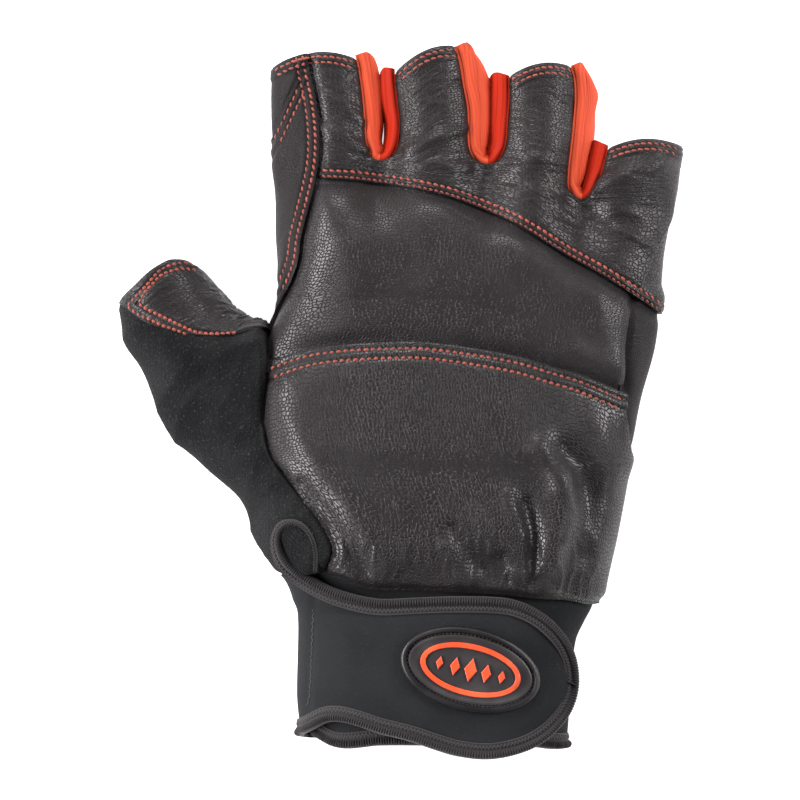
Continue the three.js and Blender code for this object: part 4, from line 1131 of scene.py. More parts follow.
# Thumb fabric: cross lines from the outer edge L over the top to R, heights in mm, bulge towards the hem
thumbRows = {
    "step": [0, 1, 2, 3, 4, 5, 6, 7, 8, 9, 10, 11, 12, 13, 14, 15, 16],
    "Lx": [-74.6, -72.7, -69.3, -66.1, -64.0, -61.9, -58.7, -53.4, -48.1, -43.3, -40.7, -39.4, -38.6, -37.2,
           -35.4, -33.3,
           -30.1],
    "Ly": [23.7, 15.0, 8.9, 3.0, -2.3, -7.6, -12.3, -16.8, -21.1, -25.0, -28.2, -31.9, -35.6, -38.6, -41.7,
           -45.2, -47.0],
    "Rx": [-51.5, -47.8, -43.9, -40.1, -36.4, -35.9, -36.2, -36.9, -36.4, -34.3, -30.9, -27.2, -23.3, -20.3,
           -18.7, -19.4,
           -21.3],
    "Ry": [32.4, 28.0, 23.5, 20.8, 19.5, 13.4, 5.2, -2.8, -9.8, -16.0, -20.6, -25.1, -29.6, -34.5, -38.8,
           -42.9, -45.7],
    "waist": [8.2, 8.6, 9.0, 9.4, 9.8, 10.0, 10.2, 10.4, 10.6, 10.8, 11.0, 11.4, 11.8, 12.0, 12.0, 12.0,
              12.0],
    "top": [20.4, 21.4, 22.6, 23.6, 24.2, 24.4, 24.4, 24.4, 24.8, 25.6, 26.6, 27.4, 28.0, 28.2, 27.4, 26.6,
            25.8],
    "right": [8.2, 8.8, 9.6, 12.0, 16.0, 20.4, 21.6, 21.6, 22.2, 23.4, 25.0, 26.4, 27.2, 27.4, 26.6, 25.8,
              25.0],
    "peak": [0.5, 0.5, 0.52, 0.56, 0.64, 0.76, 0.82, 0.84, 0.85, 0.85, 0.85, 0.85, 0.85, 0.85, 0.85, 0.85,
             0.85],
    "bulge": [1.0, 0.42, 0.1, 0, 0, 0, 0, 0, 0, 0, 0, 0, 0, 0, 0, 0, 0],
    "under": [-51.5, -47.8, -43.9, -40.1, -36.4, -34.5, -34.0, -33.5, -33.0, -32.5, -31.5, -30.0, -28.0,
              -26.0, -24.0, -23.0,
              -22.0],
}

hemArc = {"share": [0, 0.05, 0.126, 0.245, 0.45, 0.62, 0.73, 0.89, 0.966, 1],
          "out": [0, 1.8, 3.1, 4.3, 6.5, 7.5, 7.5, 5.4, 2.4, 0]}


def thumbSkin(step, turn):
    # turn 0..1 over the top from R to L, 1..2 underneath from L back to R, below 0 round the right waist
    value = {name: column(thumbRows, "step", name, step) * mm for name in thumbRows
             if name not in ("step", "peak")}
    peak = column(thumbRows, "step", "peak", step)
    meets = ease(3.4, 4.6, step)
    along = alongOf(value["Ry"])
    besideX = np.maximum(value["Rx"], seamX(thumbEdge, value["Ry"]))
    leatherZ = handPoint(along, girthAt(along, besideX))[..., 2] - 0.0014
    value["right"] = value["right"] * (1 - meets) + leatherZ * meets
    value["top"] = np.maximum(value["top"], value["right"] + 0.0008)
    peak = peak + (0.9 - peak) * meets
    value["Rx"] = value["Rx"] + 0.0012 * meets
    share = 0.5 - 0.5 * np.cos(math.pi * np.clip(1 - turn, 0, 1))  # 0 at L, 1 at R
    rising = np.clip(share / peak, 0, 1)
    falling = np.clip((share - peak) / (1 - peak), 0, 1)
    lift = value["waist"] + (value["top"] - value["waist"]) * np.maximum(1 - (1 - rising) ** 2.3, 0) ** 0.62
    drop = value["right"] + (value["top"] - value["right"]) * np.maximum(1 - falling ** 2.3, 0) ** 0.62
    top = np.where(share < peak, lift, drop)
    under = np.clip(turn - 1, 0, 1)
    below = 0.5 - 0.5 * np.cos(math.pi * under)
    closed = ease(5.2, 3.4, step)
    sole = value["waist"] * np.maximum(1 - np.minimum(below * 5.5, 1) ** 0.8, 0)
    back = value["right"] * np.maximum(1 - np.minimum((1 - below) * 5.5, 1) ** 0.8, 0) * closed
    bottom = np.maximum(sole, back)
    isTop = turn <= 1
    place = np.where(isTop, share, below)
    rightX = np.where(isTop, value["Rx"], value["under"])
    rightY = value["Ry"]
    x = value["Lx"] + (rightX - value["Lx"]) * place
    y = value["Ly"] + (rightY - value["Ly"]) * place
    runX, runY = rightX - value["Lx"], rightY - value["Ly"]
    size = np.hypot(runX, runY)
    arch = column(hemArc, "share", "out", place) * value["bulge"] * np.where(isTop, 1.0, 0.7)
    return np.stack([x - runY / size * arch, y + runX / size * arch, np.where(isTop, top, bottom)], axis=-1)


# Stitch rows of the thumb patch in mm: two along the hem, two along its lower edge
thumbSeams = [
    [(-72.0, 24.7), (-70.1, 26.9), (-67.3, 29.7), (-64.8, 32.7), (-63.0, 34.4), (-60.0, 35.7),
     (-56.6, 36.1), (-54.6, 35.7)],
    [(-69.0, 25.4), (-67.3, 28.5), (-65.1, 30.7), (-63.0, 33.0), (-60.6, 33.9), (-57.5, 34.6),
     (-53.8, 34.2)],
    [(-72.0, 24.7), (-70.6, 23.5), (-68.5, 22.2), (-66.1, 21.2), (-63.0, 19.7), (-60.0, 18.7),
     (-56.6, 17.4), (-54.0, 16.4), (-50.7, 15.9), (-49.0, 16.4)],
    [(-69.0, 25.4), (-66.5, 23.7), (-63.5, 22.3), (-60.6, 20.9), (-57.1, 19.2), (-54.0, 17.9),
     (-51.0, 17.4), (-48.1, 17.4), (-43.1, 17.7)],
]


# patch's far edge, R is 1
patchReach = {"step": [0, 1, 2, 3, 3.6, 4.3], "share": [0.04, 0.27, 0.52, 0.77, 0.9, 1.0]}


def makeThumb():
    size = {"columns": 150, "rows": 132, "wall": 0.0013}
    step = np.linspace(0, 16, size["rows"])[:, None]
    turn = np.linspace(0, 2, size["columns"])[None, :]
    points = thumbSkin(step + 0 * turn, turn + 0 * step)
    points = points[:, ::-1]
    x, y = points[..., 0], points[..., 1]
    seam = np.broadcast_to(np.linspace(2, 0, size["columns"])[None, :], x.shape)
    rowStep = np.broadcast_to(step, x.shape)
    soft = softNoise(x * 60 + 3, y * 60 + 7, 51) * 0.0009 + softNoise(x * 150, y * 150, 52) * 0.00025
    crease = np.maximum(0, 1 - np.abs(softNoise(x * 40 + y * 30, (y - x) * 90, 53)) * 3) ** 2 * 0.0005
    lift = (soft + crease) * ease(0, 0.25, np.minimum(seam, np.abs(2 - seam))) * ease(0, 1, rowStep)
    lift = lift - 0.0006 * ease(5, 6, rowStep) * bell(seam, 0.04)
    patchEdge = 1 - np.arccos(np.clip(1 - 2 * column(patchReach, "step", "share", rowStep), -1,
                                      1)) / math.pi
    covered = ease(0.02, 0.12, patchEdge - seam) * ease(4.25, 3.9, rowStep)
    lift = lift * (1 - covered) - 0.001 * covered
    shade = 0.9 * ease(10.5, 12.0, rowStep) * ease(0.17, 0.05,
                                                   seam) + 0.8 * ease(4.2, 5, rowStep) * bell(seam, 0.025)
    piece = gridPiece("thumbFabric", lifted(points, -lift), (), {"seamShade": np.clip(shade, 0, 1)})
    closeSeam(piece)
    pointOut(piece)
    return finishPiece(piece, cloth["brushed_thumb_fabric"], ["thumb_panel"], size["wall"],
                       60)


def makeThumbPatch():
    size = {"columns": 110, "rows": 140, "rise": 0.0009}
    step = np.linspace(0, 4.3, size["rows"])[:, None]
    shareAt = column(patchReach, "step", "share", step)
    turnFar = 1 - np.arccos(np.clip(1 - 2 * shareAt, -1, 1)) / math.pi
    u = np.linspace(0, 1, size["columns"])[None, :]
    points = thumbSkin(step + 0 * u, turnFar * (1 - u))
    x, y = points[..., 0], points[..., 1]
    span = np.linalg.norm(np.diff(points, axis=1), axis=-1)
    fromEdge = np.concatenate([np.zeros((len(step), 1)), np.cumsum(span, axis=1)], axis=1)
    toRight = fromEdge[:, -1:] - fromEdge
    rise = np.linalg.norm(np.diff(points, axis=0), axis=-1)
    fromHem = np.concatenate([np.zeros((1, size["columns"])), np.cumsum(rise, axis=0)], axis=0)
    warp = softNoise(x * 140, y * 140, 62) * 1.3
    down = (0.0244 - y) / (1 - 44 * (x + 0.0455))
    gathers = np.maximum(0, 1 - np.abs(softNoise(toRight * 230 + 5 + warp * 0.4, down * 900 + warp * 0.8,
                                                 61)) * 2.2) ** 1.5
    band = 0.009 + softNoise(down * 160, down * 0 + 4, 64) * 0.006
    gathers = gathers * ease(0.003, -0.003, toRight - band) * ease(0.0035, 0.006,
                                                                   fromHem) * ease(0.0028, 0.005, fromEdge)
    lift = size["rise"] * ease(-0.0001, 0.0006, fromEdge) + gathers * 0.00042
    lift = lift + softNoise(x * 110, y * 110, 63) * 0.0007 * ease(0.003, 0.006,
                                                                  fromEdge) * ease(0.003, 0.006, fromHem)
    lift = lift - 0.0005 * bell(fromHem, 0.0006)
    shade = np.zeros_like(x)
    for row in thumbSeams:
        nearest = -creaseLift(x, y, [{"line": row, "rise": -0.3, "reach": 0.5}])
        lift = lift - nearest
        shade = shade + nearest / 0.0003 * 0.8
    normals = gridNormals(points)
    normals = normals * np.sign(normals[..., 2:3] + 1e-9)
    piece = gridPiece("thumbPatch", points + normals * lift[..., None], (),
                      {"seamShade": np.clip(shade, 0, 1)})
    pointOut(piece)
    return finishPiece(piece, leather["finger"], ["thumb_patch"], 0.0011, 60)


def makeBack():
    size = {"columns": (34, 38, 40, 44), "seamRows": 130, "hemRows": 40}
    low = np.linspace(0, 1, size["seamRows"], endpoint=False)
    high = np.linspace(0, 1, size["hemRows"])
    rows = size["seamRows"] + size["hemRows"]
    blocks, skipped, start = [], [], 0
    for number, finger in enumerate(fingers):
        leftX, rightX = fingerEdges(number, 0.85)
        columns = size["columns"][number]
        u = np.linspace(0, 1, columns)[None, :]
        y = np.full((rows, columns), 0.05)
        for step in range(10):
            along = alongOf(y)
            left, right, top = handOval(along)
            leftEdge = handPoint(along, backLeft(along))[..., 0]
            rightEdge = handPoint(along, backRight(along))[..., 0]
            if number == 0:
                start0 = np.where(y > 0.017, leftEdge,
                                  np.minimum(column(thumbRows, "Ry", "under", y / mm) * mm, -0.022))
                leftNow = start0 + (leftEdge - start0) * ease(0.012, 0.02, y)
            else:
                leftNow = leftX(y)
            rightNow = rightEdge if number == 3 else rightX(y)
            x = leftNow + (rightNow - leftNow) * u
            crotch = seamY(crotchLine, x) + 0.0018
            hem = np.maximum(hemY(finger, x) - 0.0015, crotch + 0.004)
            bottom = seamY(heelEdge, x)
            y = np.concatenate([
                bottom[:size["seamRows"]] + (crotch - bottom)[:size["seamRows"]] * low[:, None],
                crotch[size["seamRows"]:] + (hem - crotch)[size["seamRows"]:] * high[:, None]])
        along = alongOf(y)
        left, right, top = handOval(along)
        waist = top * hand["waist"]
        share = np.clip((x - (left + right) / 2) / ((right - left) / 2), -1, 1)
        sin = np.sqrt(np.maximum(1 - np.abs(share) ** (2 / hand["side"]), 0))
        z = np.maximum(waist - (waist + hand["flat"]) * sin ** hand["sole"], 0.0)
        z = np.minimum(z, hand["backSeam"] + 0.0004)
        edge = np.full_like(x, 1.0)
        if number > 0:
            edge = np.minimum(edge, (x - leftX(y)) / 0.003)
        if number < 3:
            edge = np.minimum(edge, (rightX(y) - x) / 0.003)
        inGap = ease(-0.004, 0.002, y - crotch)
        z = np.maximum(z, hand["backSeam"] * inGap * (1 - np.clip(edge, 0, 1)) ** 1.6)
        blocks.append(np.stack([x, y, z], axis=-1))
        start += columns
        skipped.append(start - 1)
    points = np.concatenate(blocks, axis=1)
    total = points.shape[1]
    faces = [row * (total - 1) + gap for gap in skipped[:3]
             for row in range(size["seamRows"] - 1, rows - 1)]
    piece = gridPiece("backPanel", points, faces)
    pointDown(piece)
    return finishPiece(piece, cloth["stretch_back_fabric"], ["back_panel"], 0.0012, 60)


def makeFourchette(gap):
    size = {"along": 170, "across": 44, "roll": 0.0006}
    bottomY = gap["left"]["y"][0] * mm
    topL, topR = gap["topLeft"]["y"] * mm, gap["topRight"]["y"] * mm
    s = np.linspace(-1, 1, size["along"])
    onLeft = s < 0
    y = bottomY + np.abs(s) ** 1.35 * np.where(onLeft, topL - bottomY, topR - bottomY)
    x = np.where(onLeft, seamX(gap["left"], y), seamX(gap["right"], y))
    x, y = evened(x, 3), evened(y, 3)
    runX, runY = np.gradient(x), np.gradient(y)
    inX, inY = -runY, runX * (1 - 0.85 * ease(0.12, 0.5, np.abs(s)))
    inX, inY = evened(inX, 6), evened(inY, 6)
    flat = np.hypot(inX, inY)
    inX, inY = inX / flat, inY / flat
    reachL = column(gap["reachLeft"], "y", "reach", y / mm)
    reachR = column(gap["reachRight"], "y", "reach", y / mm)
    reach = np.where(onLeft, reachL, reachR) * mm
    along = alongOf(y)
    edgeZ = handPoint(along, girthAt(along, x))[:, 2] - 0.0011
    topAway = np.where(onLeft, topL - y, topR - y)
    rim = {name: np.where(onLeft, gap["topLeft"][name], gap["topRight"][name]) * mm
           for name in ("crest", "fall")}
    w = np.linspace(0, 1, size["across"]) ** 1.25
    seen = np.clip(w / 0.6, 0, 1)
    out = np.sin(seen * math.pi / 2) ** 0.95 * (1 - 0.12 * np.clip((w - 0.6) / 0.4, 0, 1))
    steep = np.where(onLeft, 0.42, 0.62)[:, None]
    down = steep * (1 - np.cos(seen * math.pi / 2)) ** 0.9 + (1 - steep) * np.clip((w - 0.35) / 0.65, 0,
                                                                                   1) ** 1.2
    hemWeight = bell(topAway, 0.009)[:, None]
    hemShift = hemWeight * (rim["crest"][:, None] * np.sin(np.clip(w * 2.2, 0, 1) * math.pi)
                            - rim["fall"][:, None] * out ** 3.4)
    roll = size["roll"] * np.sin(np.clip(w / 0.16, 0, 1) * math.pi)
    px = x[:, None] + inX[:, None] * reach[:, None] * out
    py = y[:, None] + inY[:, None] * reach[:, None] * out + hemShift
    pz = edgeZ[:, None] - (edgeZ - hand["backSeam"])[:, None] * down + roll
    px = px + softNoise(py * 160, pz * 140 + px * 60, 71) * 0.0004 * inX[:, None] * np.clip(w * 3, 0, 1)
    points = np.stack([px, py, pz], axis=-1)
    points[:, 0, 0] -= inX * 0.0006
    # Painted shade: the right limb of each gap and the far inside of the gap are coloured as shaded orange; the
    # left limb keeps the lit colour
    paintedShade = np.where(onLeft, 0.0, 0.95)[:, None] + 0.6 * np.clip((out - 0.93) / 0.07, 0, 1)
    fromSeam = out * reach[:, None]
    name = gap["node"].replace("fourchette_", "fourchette-")
    piece = gridPiece(name, points, (), {"deepShade": np.clip(paintedShade, 0, 1), "fromSeam": fromSeam})
    return finishPiece(piece, orangeKnit, [gap["node"]], 0.0009, 60)


makeThumb()
thumbPatch = makeThumbPatch()
makeBack()
for gap in gaps:
    makeFourchette(gap)
print("thumb, back and finger sides made")

cuff = {
    "length": 0.0416,
    "wall": 0.0022,
    "fit": 0.0028,
    "lift": 0.0008,
    "strapGap": 0.0011,  # strap underside over the cuff
    "strapWall": 0.003,
}
cuffSections = {
    "down": [0, 0.06, 0.127, 0.255, 0.51, 0.764, 1.0],
    "leftIn": [0.005, 0.016, 0.019, 0.02, 0.02, 0.02, 0.024],
    "rightIn": [0, 0.008, 0.022, 0.044, 0.056, 0.062, 0.07],
    "height": [1.0, 1.0, 1.0, 0.99, 0.97, 0.95, 0.93],
    "lift": [1, 0.85, 0.6, 0, 0, 0, 0],
}
cuffEdge = {"x": [-43, -23.2, -16.2, -5.4, 10.8, 32.4, 42.1, 65],
            "y": [-88.0, -89.3, -92.2, -91.4, -91.4, -91.4, -92.6, -91.8]}


def cuffOval(y):
    down = np.maximum((hand["heelY"] - y) / cuff["length"], 0)
    left, right, top = handOval(np.maximum((y - hand["heelY"]) / hand["length"], 0))

    def value(name):
        return column(cuffSections, "down", name, down)
    return (left + cuff["fit"] + value("leftIn") * hand["width"],
            right - cuff["fit"] - value("rightIn") * hand["width"],
            cuff["lift"] + (cuff["fit"] - cuff["lift"]) * value("lift"),
            (top - cuff["fit"]) * value("height"))


def cuffPoint(y, girth, grow):
    left, right, bottom, top = cuffOval(y)
    x, z = ovalPoint(left, right, bottom, top, turnAt(girth), grow)
    return np.stack([x, y + 0 * x, z], axis=-1)


def cuffGirth(y, x, grow):
    left, right = cuffOval(y)[:2]
    return girthInOval(left - grow, right + grow, x)


def makeCuff():
    size = {"columns": 200, "rows": 46}
    turn = np.linspace(0, 2 * math.pi, size["columns"])[None, :]
    v = np.linspace(0, 1, size["rows"])[:, None]
    y = np.full((size["rows"], size["columns"]), -0.06)
    for step in range(4):
        left, right, bottom, top = cuffOval(y)
        x, z = ovalPoint(left, right, bottom, top, turn)
        low = seamY(cuffEdge, x) + 0.002
        y = low + (hand["heelY"] + 0.008 - low) * v
    wave = softNoise(x * 40, y * 60, 81) * 0.0006
    piece = gridPiece("cuffTube", np.stack([x, y, z + wave], axis=-1)[:, ::-1])
    closeSeam(piece)
    pointOut(piece)
    return finishPiece(piece, cloth["neoprene_jersey"], ["cuff"], cuff["wall"], 60)


def tapeProfile(roll):
    # across the tape from the outer roll to the inner stitched edge: place in shares of the width, height in mm
    return np.array([[0.0, -0.9], [0.01, 0.1], [0.06, 0.75], [0.14, 1.2], [0.24, 1.42], [0.34, 1.4],
                     [0.43, 1.15],
                     [0.5, 0.75], [0.55, 0.5], [0.62, 0.55], [0.7, 0.62], [0.78, 0.6], [0.86, 0.5],
                     [0.9, 0.55],
                     [0.95, 0.62], [0.99, 0.35], [1.0, -0.5]]) * np.array([1, mm * roll])


def resample(points, pitch):
    lengths = runLengths(points)
    count = max(int(lengths[-1] / pitch), 2)
    places = np.linspace(0, lengths[-1], count + 1)
    return np.stack([np.interp(places, lengths, points[:, i]) for i in range(points.shape[1])], axis=-1)


def smoothPath(rows, perStep=14):
    rows = np.array(rows, float)
    keys = np.concatenate([[0], np.cumsum(np.hypot(np.diff(rows[:, 0]), np.diff(rows[:, 1])) + 1e-6)])
    fine = np.linspace(0, keys[-1], len(rows) * perStep)
    table = {"key": keys}
    return np.stack([column({**table, "value": rows[:, i]}, "key", "value", fine)
                     for i in range(rows.shape[1])], axis=-1)


tape = {"width": 0.0044, "least": 0.0012, "ribPitch": 0.00068, "zigPitch": 0.001, "wall": 0.0008}


def sweepTape(name, path, normals, inward, width, roll):
    profile = tapeProfile(roll)
    fineShare = np.linspace(0, 1, 26)
    heights = np.interp(fineShare, profile[:, 0], profile[:, 1])
    distance = runLengths(path)
    rib = np.cos(2 * math.pi * distance / tape["ribPitch"])[:, None]
    ribWeight = (ease(0.0, 0.08, fineShare) * ease(0.55, 0.42, fineShare))[None, :]
    zig = np.abs(((distance / tape["zigPitch"]) % 1) * 2 - 1)[:, None]
    zigAt = 0.62 + 0.2 * zig
    zigBump = bell(fineShare[None, :] - zigAt, 0.045)
    heights = heights[None,
                      :] * (width / tape["width"])[:, None] + ribWeight * rib * 0.0002 + zigBump * 0.00022
    points = path[:, None, :] + inward[:, None,
                                       :] * ((fineShare[None, :] - 0.5) * width[:, None])[..., None]
    points = points + normals[:, None, :] * heights[..., None]
    # Lighter colour mask: the zigzag stitch, plus painted highlight on the edge lip and on the rib crests
    edge = bell(fineShare[None, :] - 0.95, 0.035) * (0.55 + 0.45 * rib)
    shade = np.clip(0.75 * zigBump + 0.8 * edge + 0.22 * ribWeight * rib, 0, 1)
    return gridPiece(name, points, (), {"seamShade": shade})


# Middle line of the binding from the vent round the strap, in mm: width, and wrap is how far round the flank it is
tapeLine = [
    (-22.2, -45.2, 0.9, 0), (-22.1, -40.2, 0.9, 0), (-23.4, -35.8, 1.1, 0), (-25.6, -33.2, 1.4, 0),
    (-28.5, -32.3, 1.8, 0),
    (-31.2, -33.2, 2.4, 0), (-32.6, -36.2, 3.0, 0), (-32.4, -39.8, 3.6, 0), (-30.6, -43.6, 4.2, 0),
    (-27.3, -46.6, 4.4, 0),
    (-22.9, -49.4, 4.4, 0), (-17.6, -51.9, 4.4, 0), (-11.0, -53.8, 4.4, 0), (-5.2, -54.7, 4.4, 0),
    (5.2, -54.3, 4.4, 0),
    (14.4, -54.0, 4.4, 0), (26.6, -54.3, 4.4, 0), (32.0, -55.5, 4.4, 0), (37.5, -58.5, 4.4, 0),
    (41.8, -62.9, 4.4, 0),
    (44.4, -67.7, 4.4, 0), (45.5, -73.3, 4.4, 0), (45.0, -78.1, 4.4, 0), (42.8, -82.9, 4.4, 0),
    (38.1, -87.9, 4.4, 0),
    (32.0, -91.1, 4.4, 0), (23.7, -92.7, 4.4, 0), (15.5, -91.9, 4.4, 0), (9.4, -90.1, 4.4, 0),
    (2.8, -87.9, 4.4, 0),
    (-4.6, -86.1, 4.4, 0), (-11.0, -84.0, 4.4, 0), (-15.8, -82.9, 4.4, 0), (-19.8, -83.2, 4.4, 0),
    (-24.4, -85.6, 4.4, 0),
    (-27.3, -87.0, 4.4, 0), (-27.6, -87.6, 4.4, 5), (-27.6, -88.0, 4.4, 12), (-27.6, -88.2, 4.4, 19),
]
strapLayer = cuff["strapGap"] + cuff["strapWall"]


def onStrap(x, y, wrap, grow):
    left = cuffOval(y)[0]
    girth = cuffGirth(y, np.maximum(x, left - grow + 0.0001), grow) - wrap / girthLength / 0.55 * 0.62
    return cuffPoint(y, girth, grow)


def makeStrapTape():
    line = smoothPath(tapeLine)
    x, y, width, wrap = (line[:, i] * mm for i in range(4))
    onHand = ease(-0.046, -0.038, y) * ease(-0.012, -0.018, x)
    base = onStrap(x, y, wrap, strapLayer)
    along = alongOf(y)
    handTop = handPoint(along, girthAt(along, x))
    base[:, 2] = base[:, 2] * (1 - onHand) + (handTop[:, 2] + 0.0006) * onHand
    path = resample(np.concatenate([base, width[:, None], wrap[:, None]], axis=1), 0.00017)
    width, wrap = path[:, 3], path[:, 4]
    path = evened(path[:, :3].copy(), 60)
    tangent = unit(np.gradient(path, axis=0))
    left, right, bottom, top = cuffOval(path[:, 1])
    normals = path - np.stack([(left + right) / 2, path[:, 1], bottom + (top - bottom) * 0.1], axis=-1)
    normals[:, 0] *= 0.35 + 0.65 * ease(0, 0.012, wrap)
    normals = unit(normals - tangent * np.sum(normals * tangent, axis=1, keepdims=True))
    inward = -unit(np.cross(normals, tangent))
    piece = sweepTape("strapBinding", path, normals, inward, np.maximum(width, tape["least"]), 1.0)
    pointOut(piece)
    return finishPiece(piece, tapeKnit, ["strap_binding", "vent_binding"], tape["wall"])


def makeStrap():
    size = {"columns": 190, "rows": 84}
    line = smoothPath(tapeLine[9:])
    x, y, wrap = line[:, 0] * mm, line[:, 1] * mm, line[:, 3] * mm
    points = np.stack([x, y, wrap], axis=-1)
    tip = int(np.argmax(x))
    upper = resample(points[:tip + 1], 0.0002)
    lower = resample(points[tip:][::-1], 0.0002)
    upper = np.concatenate([[[-0.0273, -0.0466, 0.019], [-0.0273, -0.0466, 0.009]], upper])
    share = np.sin(np.linspace(0, 1, size["columns"]) * math.pi / 2) ** 0.9

    def place(curve):
        lengths = runLengths(curve)
        spots = share * lengths[-1]
        return np.stack([np.interp(spots, lengths, curve[:, i]) for i in range(3)], axis=-1)
    high, low = place(upper), place(lower)
    v = np.linspace(0, 1, size["rows"])[:, None, None]
    flatPoints = low[None] * (1 - v) + high[None] * v
    x, y, wrap = flatPoints[..., 0], flatPoints[..., 1], flatPoints[..., 2]
    surface = onStrap(x, y, wrap, strapLayer)
    edge = np.minimum(v[..., 0], 1 - v[..., 0]) * 2
    puff = 0.0004 * ease(0.05, 0.5, edge) + softNoise(x * 35, y * 45, 91) * 0.0005 * ease(0, 0.3, edge)
    seamLine = 0.0004 * bell(x + 0.0233 + (y + 0.07) * -0.045, 0.0008)
    piece = gridPiece("strapPanel", lifted(surface, puff - seamLine))
    pointOut(piece)
    return finishPiece(piece, cloth["neoprene_jersey"], ["strap"], 0.0024, 60)


def makeCuffBinding():
    turn = np.linspace(0, 2 * math.pi, 900)
    y = np.full(turn.shape, -0.09)
    for step in range(4):
        left, right, bottom, top = cuffOval(y)
        x, z = ovalPoint(left, right, bottom, top, turn)
        y = seamY(cuffEdge, x) + 0.0022
    path = evened(resample(np.stack([x, y, z], axis=-1), 0.00018), 30)
    tangent = unit(np.gradient(path, axis=0))
    left, right, bottom, top = cuffOval(path[:, 1])
    normals = path - np.stack([(left + right) / 2, path[:, 1], (bottom + top) / 2], axis=-1)
    normals[:, 1] = 0
    normals[:, 0] *= 0.3
    normals = unit(normals - tangent * np.sum(normals * tangent, axis=1, keepdims=True))
    inward = np.cross(normals, tangent)
    inward *= np.sign(inward[:, 1:2] + 1e-9)
    piece = sweepTape("cuffBinding", path, normals, inward, np.full(len(path), tape["width"]), 0.8)
    pointOut(piece)
    return finishPiece(piece, tapeKnit, ["cuff_binding"], tape["wall"])


def makeVentTongue():
    loop = smoothPath([(row[0], row[1]) for row in tapeLine[:11]]) * mm
    loop = resample(np.concatenate([loop, loop[:1]]), 0.0003)
    centre = np.array([-0.0262, -0.0408])
    t = np.linspace(0, 1, 46)[:, None, None]
    flatPoints = centre + (loop[None] - centre) * t
    x, y = flatPoints[..., 0], flatPoints[..., 1]
    along = alongOf(y)
    height = handPoint(along, girthAt(along, x))[..., 2]
    slot = creaseLift(x, y, [{"line": [(-29.5, -35.4), (-28.5, -38.4)], "rise": 1.0, "reach": 1.2},
                             {"line": [(-28.5, -38.4), (-26.6, -41.8), (-24.2, -45.2)], "rise": 1.0,
                              "reach": 0.6}]) / mm
    slot = np.clip(slot * 1.7, 0, 1)
    fuzz = softNoise(x * 420, y * 420, 95) * 0.0003
    z = height - 0.0008 + fuzz - slot * 0.002 - 0.0008 * t[..., 0] ** 3
    shade = np.clip(slot, 0, 1)
    piece = gridPiece("ventTongue", np.stack([x, y, z], axis=-1)[:, ::-1], (),
                      {"seamShade": shade[:, ::-1]})
    return finishPiece(piece, cloth["brushed_thumb_fabric"], [], 0.0006, 60)


makeCuff()
makeVentTongue()
strapPanel = makeStrap()
makeStrapTape()
makeCuffBinding()
print("cuff and strap made")

badge = {
    "centre": (0.0187, -0.0712),
    "length": 0.0376,
    "width": 0.0218,
    "turn": -13.5,
    "segments": 120,
    "seat": 0.0005,
    # going inwards: inset and height in mm
    "rim": [(0.0, 0.0), (0.0, 0.9), (0.25, 1.5), (0.7, 1.75), (1.25, 1.7), (1.55, 1.35), (1.7, 0.8),
            (2.0, 0.7), (2.15, 1.05),
            (2.55, 1.2), (2.95, 1.15), (3.2, 1.0)],
    "oval": (0.027, 0.0136, 0.0014),
    "diamonds": 5,
    "pitch": 0.0042,
    "diamondLength": 0.0034,
    "diamondHeight": 0.0064,
}


def seatBadge(piece, base):
    mesh = piece.data
    places = readRows(mesh.vertices, "co")
    turn = math.radians(badge["turn"])
    x = places[:, 0] * math.cos(turn) - places[:, 1] * math.sin(turn) + badge["centre"][0]
    y = places[:, 0] * math.sin(turn) + places[:, 1] * math.cos(turn) + badge["centre"][1]
    height = onStrap(x, y, 0 * x, strapLayer + badge["seat"])[:, 2]
    mesh.vertices.foreach_set("co", np.stack([x, y, height + places[:, 2] + base], axis=-1).reshape(-1))
    mesh.update()


def ovalRings(name, length, width, steps, closed=True):
    bpy.ops.object.select_all(action="DESELECT")
    bpy.ops.mesh.primitive_circle_add(vertices=badge["segments"], radius=0.5, fill_type="NGON")
    piece = bpy.context.object
    piece.name = name
    bpy.ops.object.mode_set(mode="EDIT")
    bpy.ops.mesh.select_all(action="SELECT")
    bpy.ops.transform.resize(value=(length, width, 1))
    bpy.ops.transform.translate(value=(0, 0, steps[0][1] * mm))
    spans = [(length - 2 * inset * mm, width - 2 * inset * mm) for inset, rise in steps]
    if closed:
        steps = steps + [(0, steps[-1][1])] * 4
        spans = spans + [(spans[-1][0] * share, spans[-1][1] * share) for share in (0.8, 0.6, 0.4, 0.2)]
    for row in range(1, len(steps)):
        bpy.ops.mesh.extrude_region()
        bpy.ops.transform.resize(value=(spans[row][0] / spans[row - 1][0],
                                        spans[row][1] / spans[row - 1][1], 1),
                                 center_override=(0, 0, steps[row - 1][1] * mm))
        bpy.ops.transform.translate(value=(0, 0, (steps[row][1] - steps[row - 1][1]) * mm))
    if not closed:
        bpy.ops.mesh.delete(type="FACE")
    bpy.ops.object.mode_set(mode="OBJECT")
    return piece


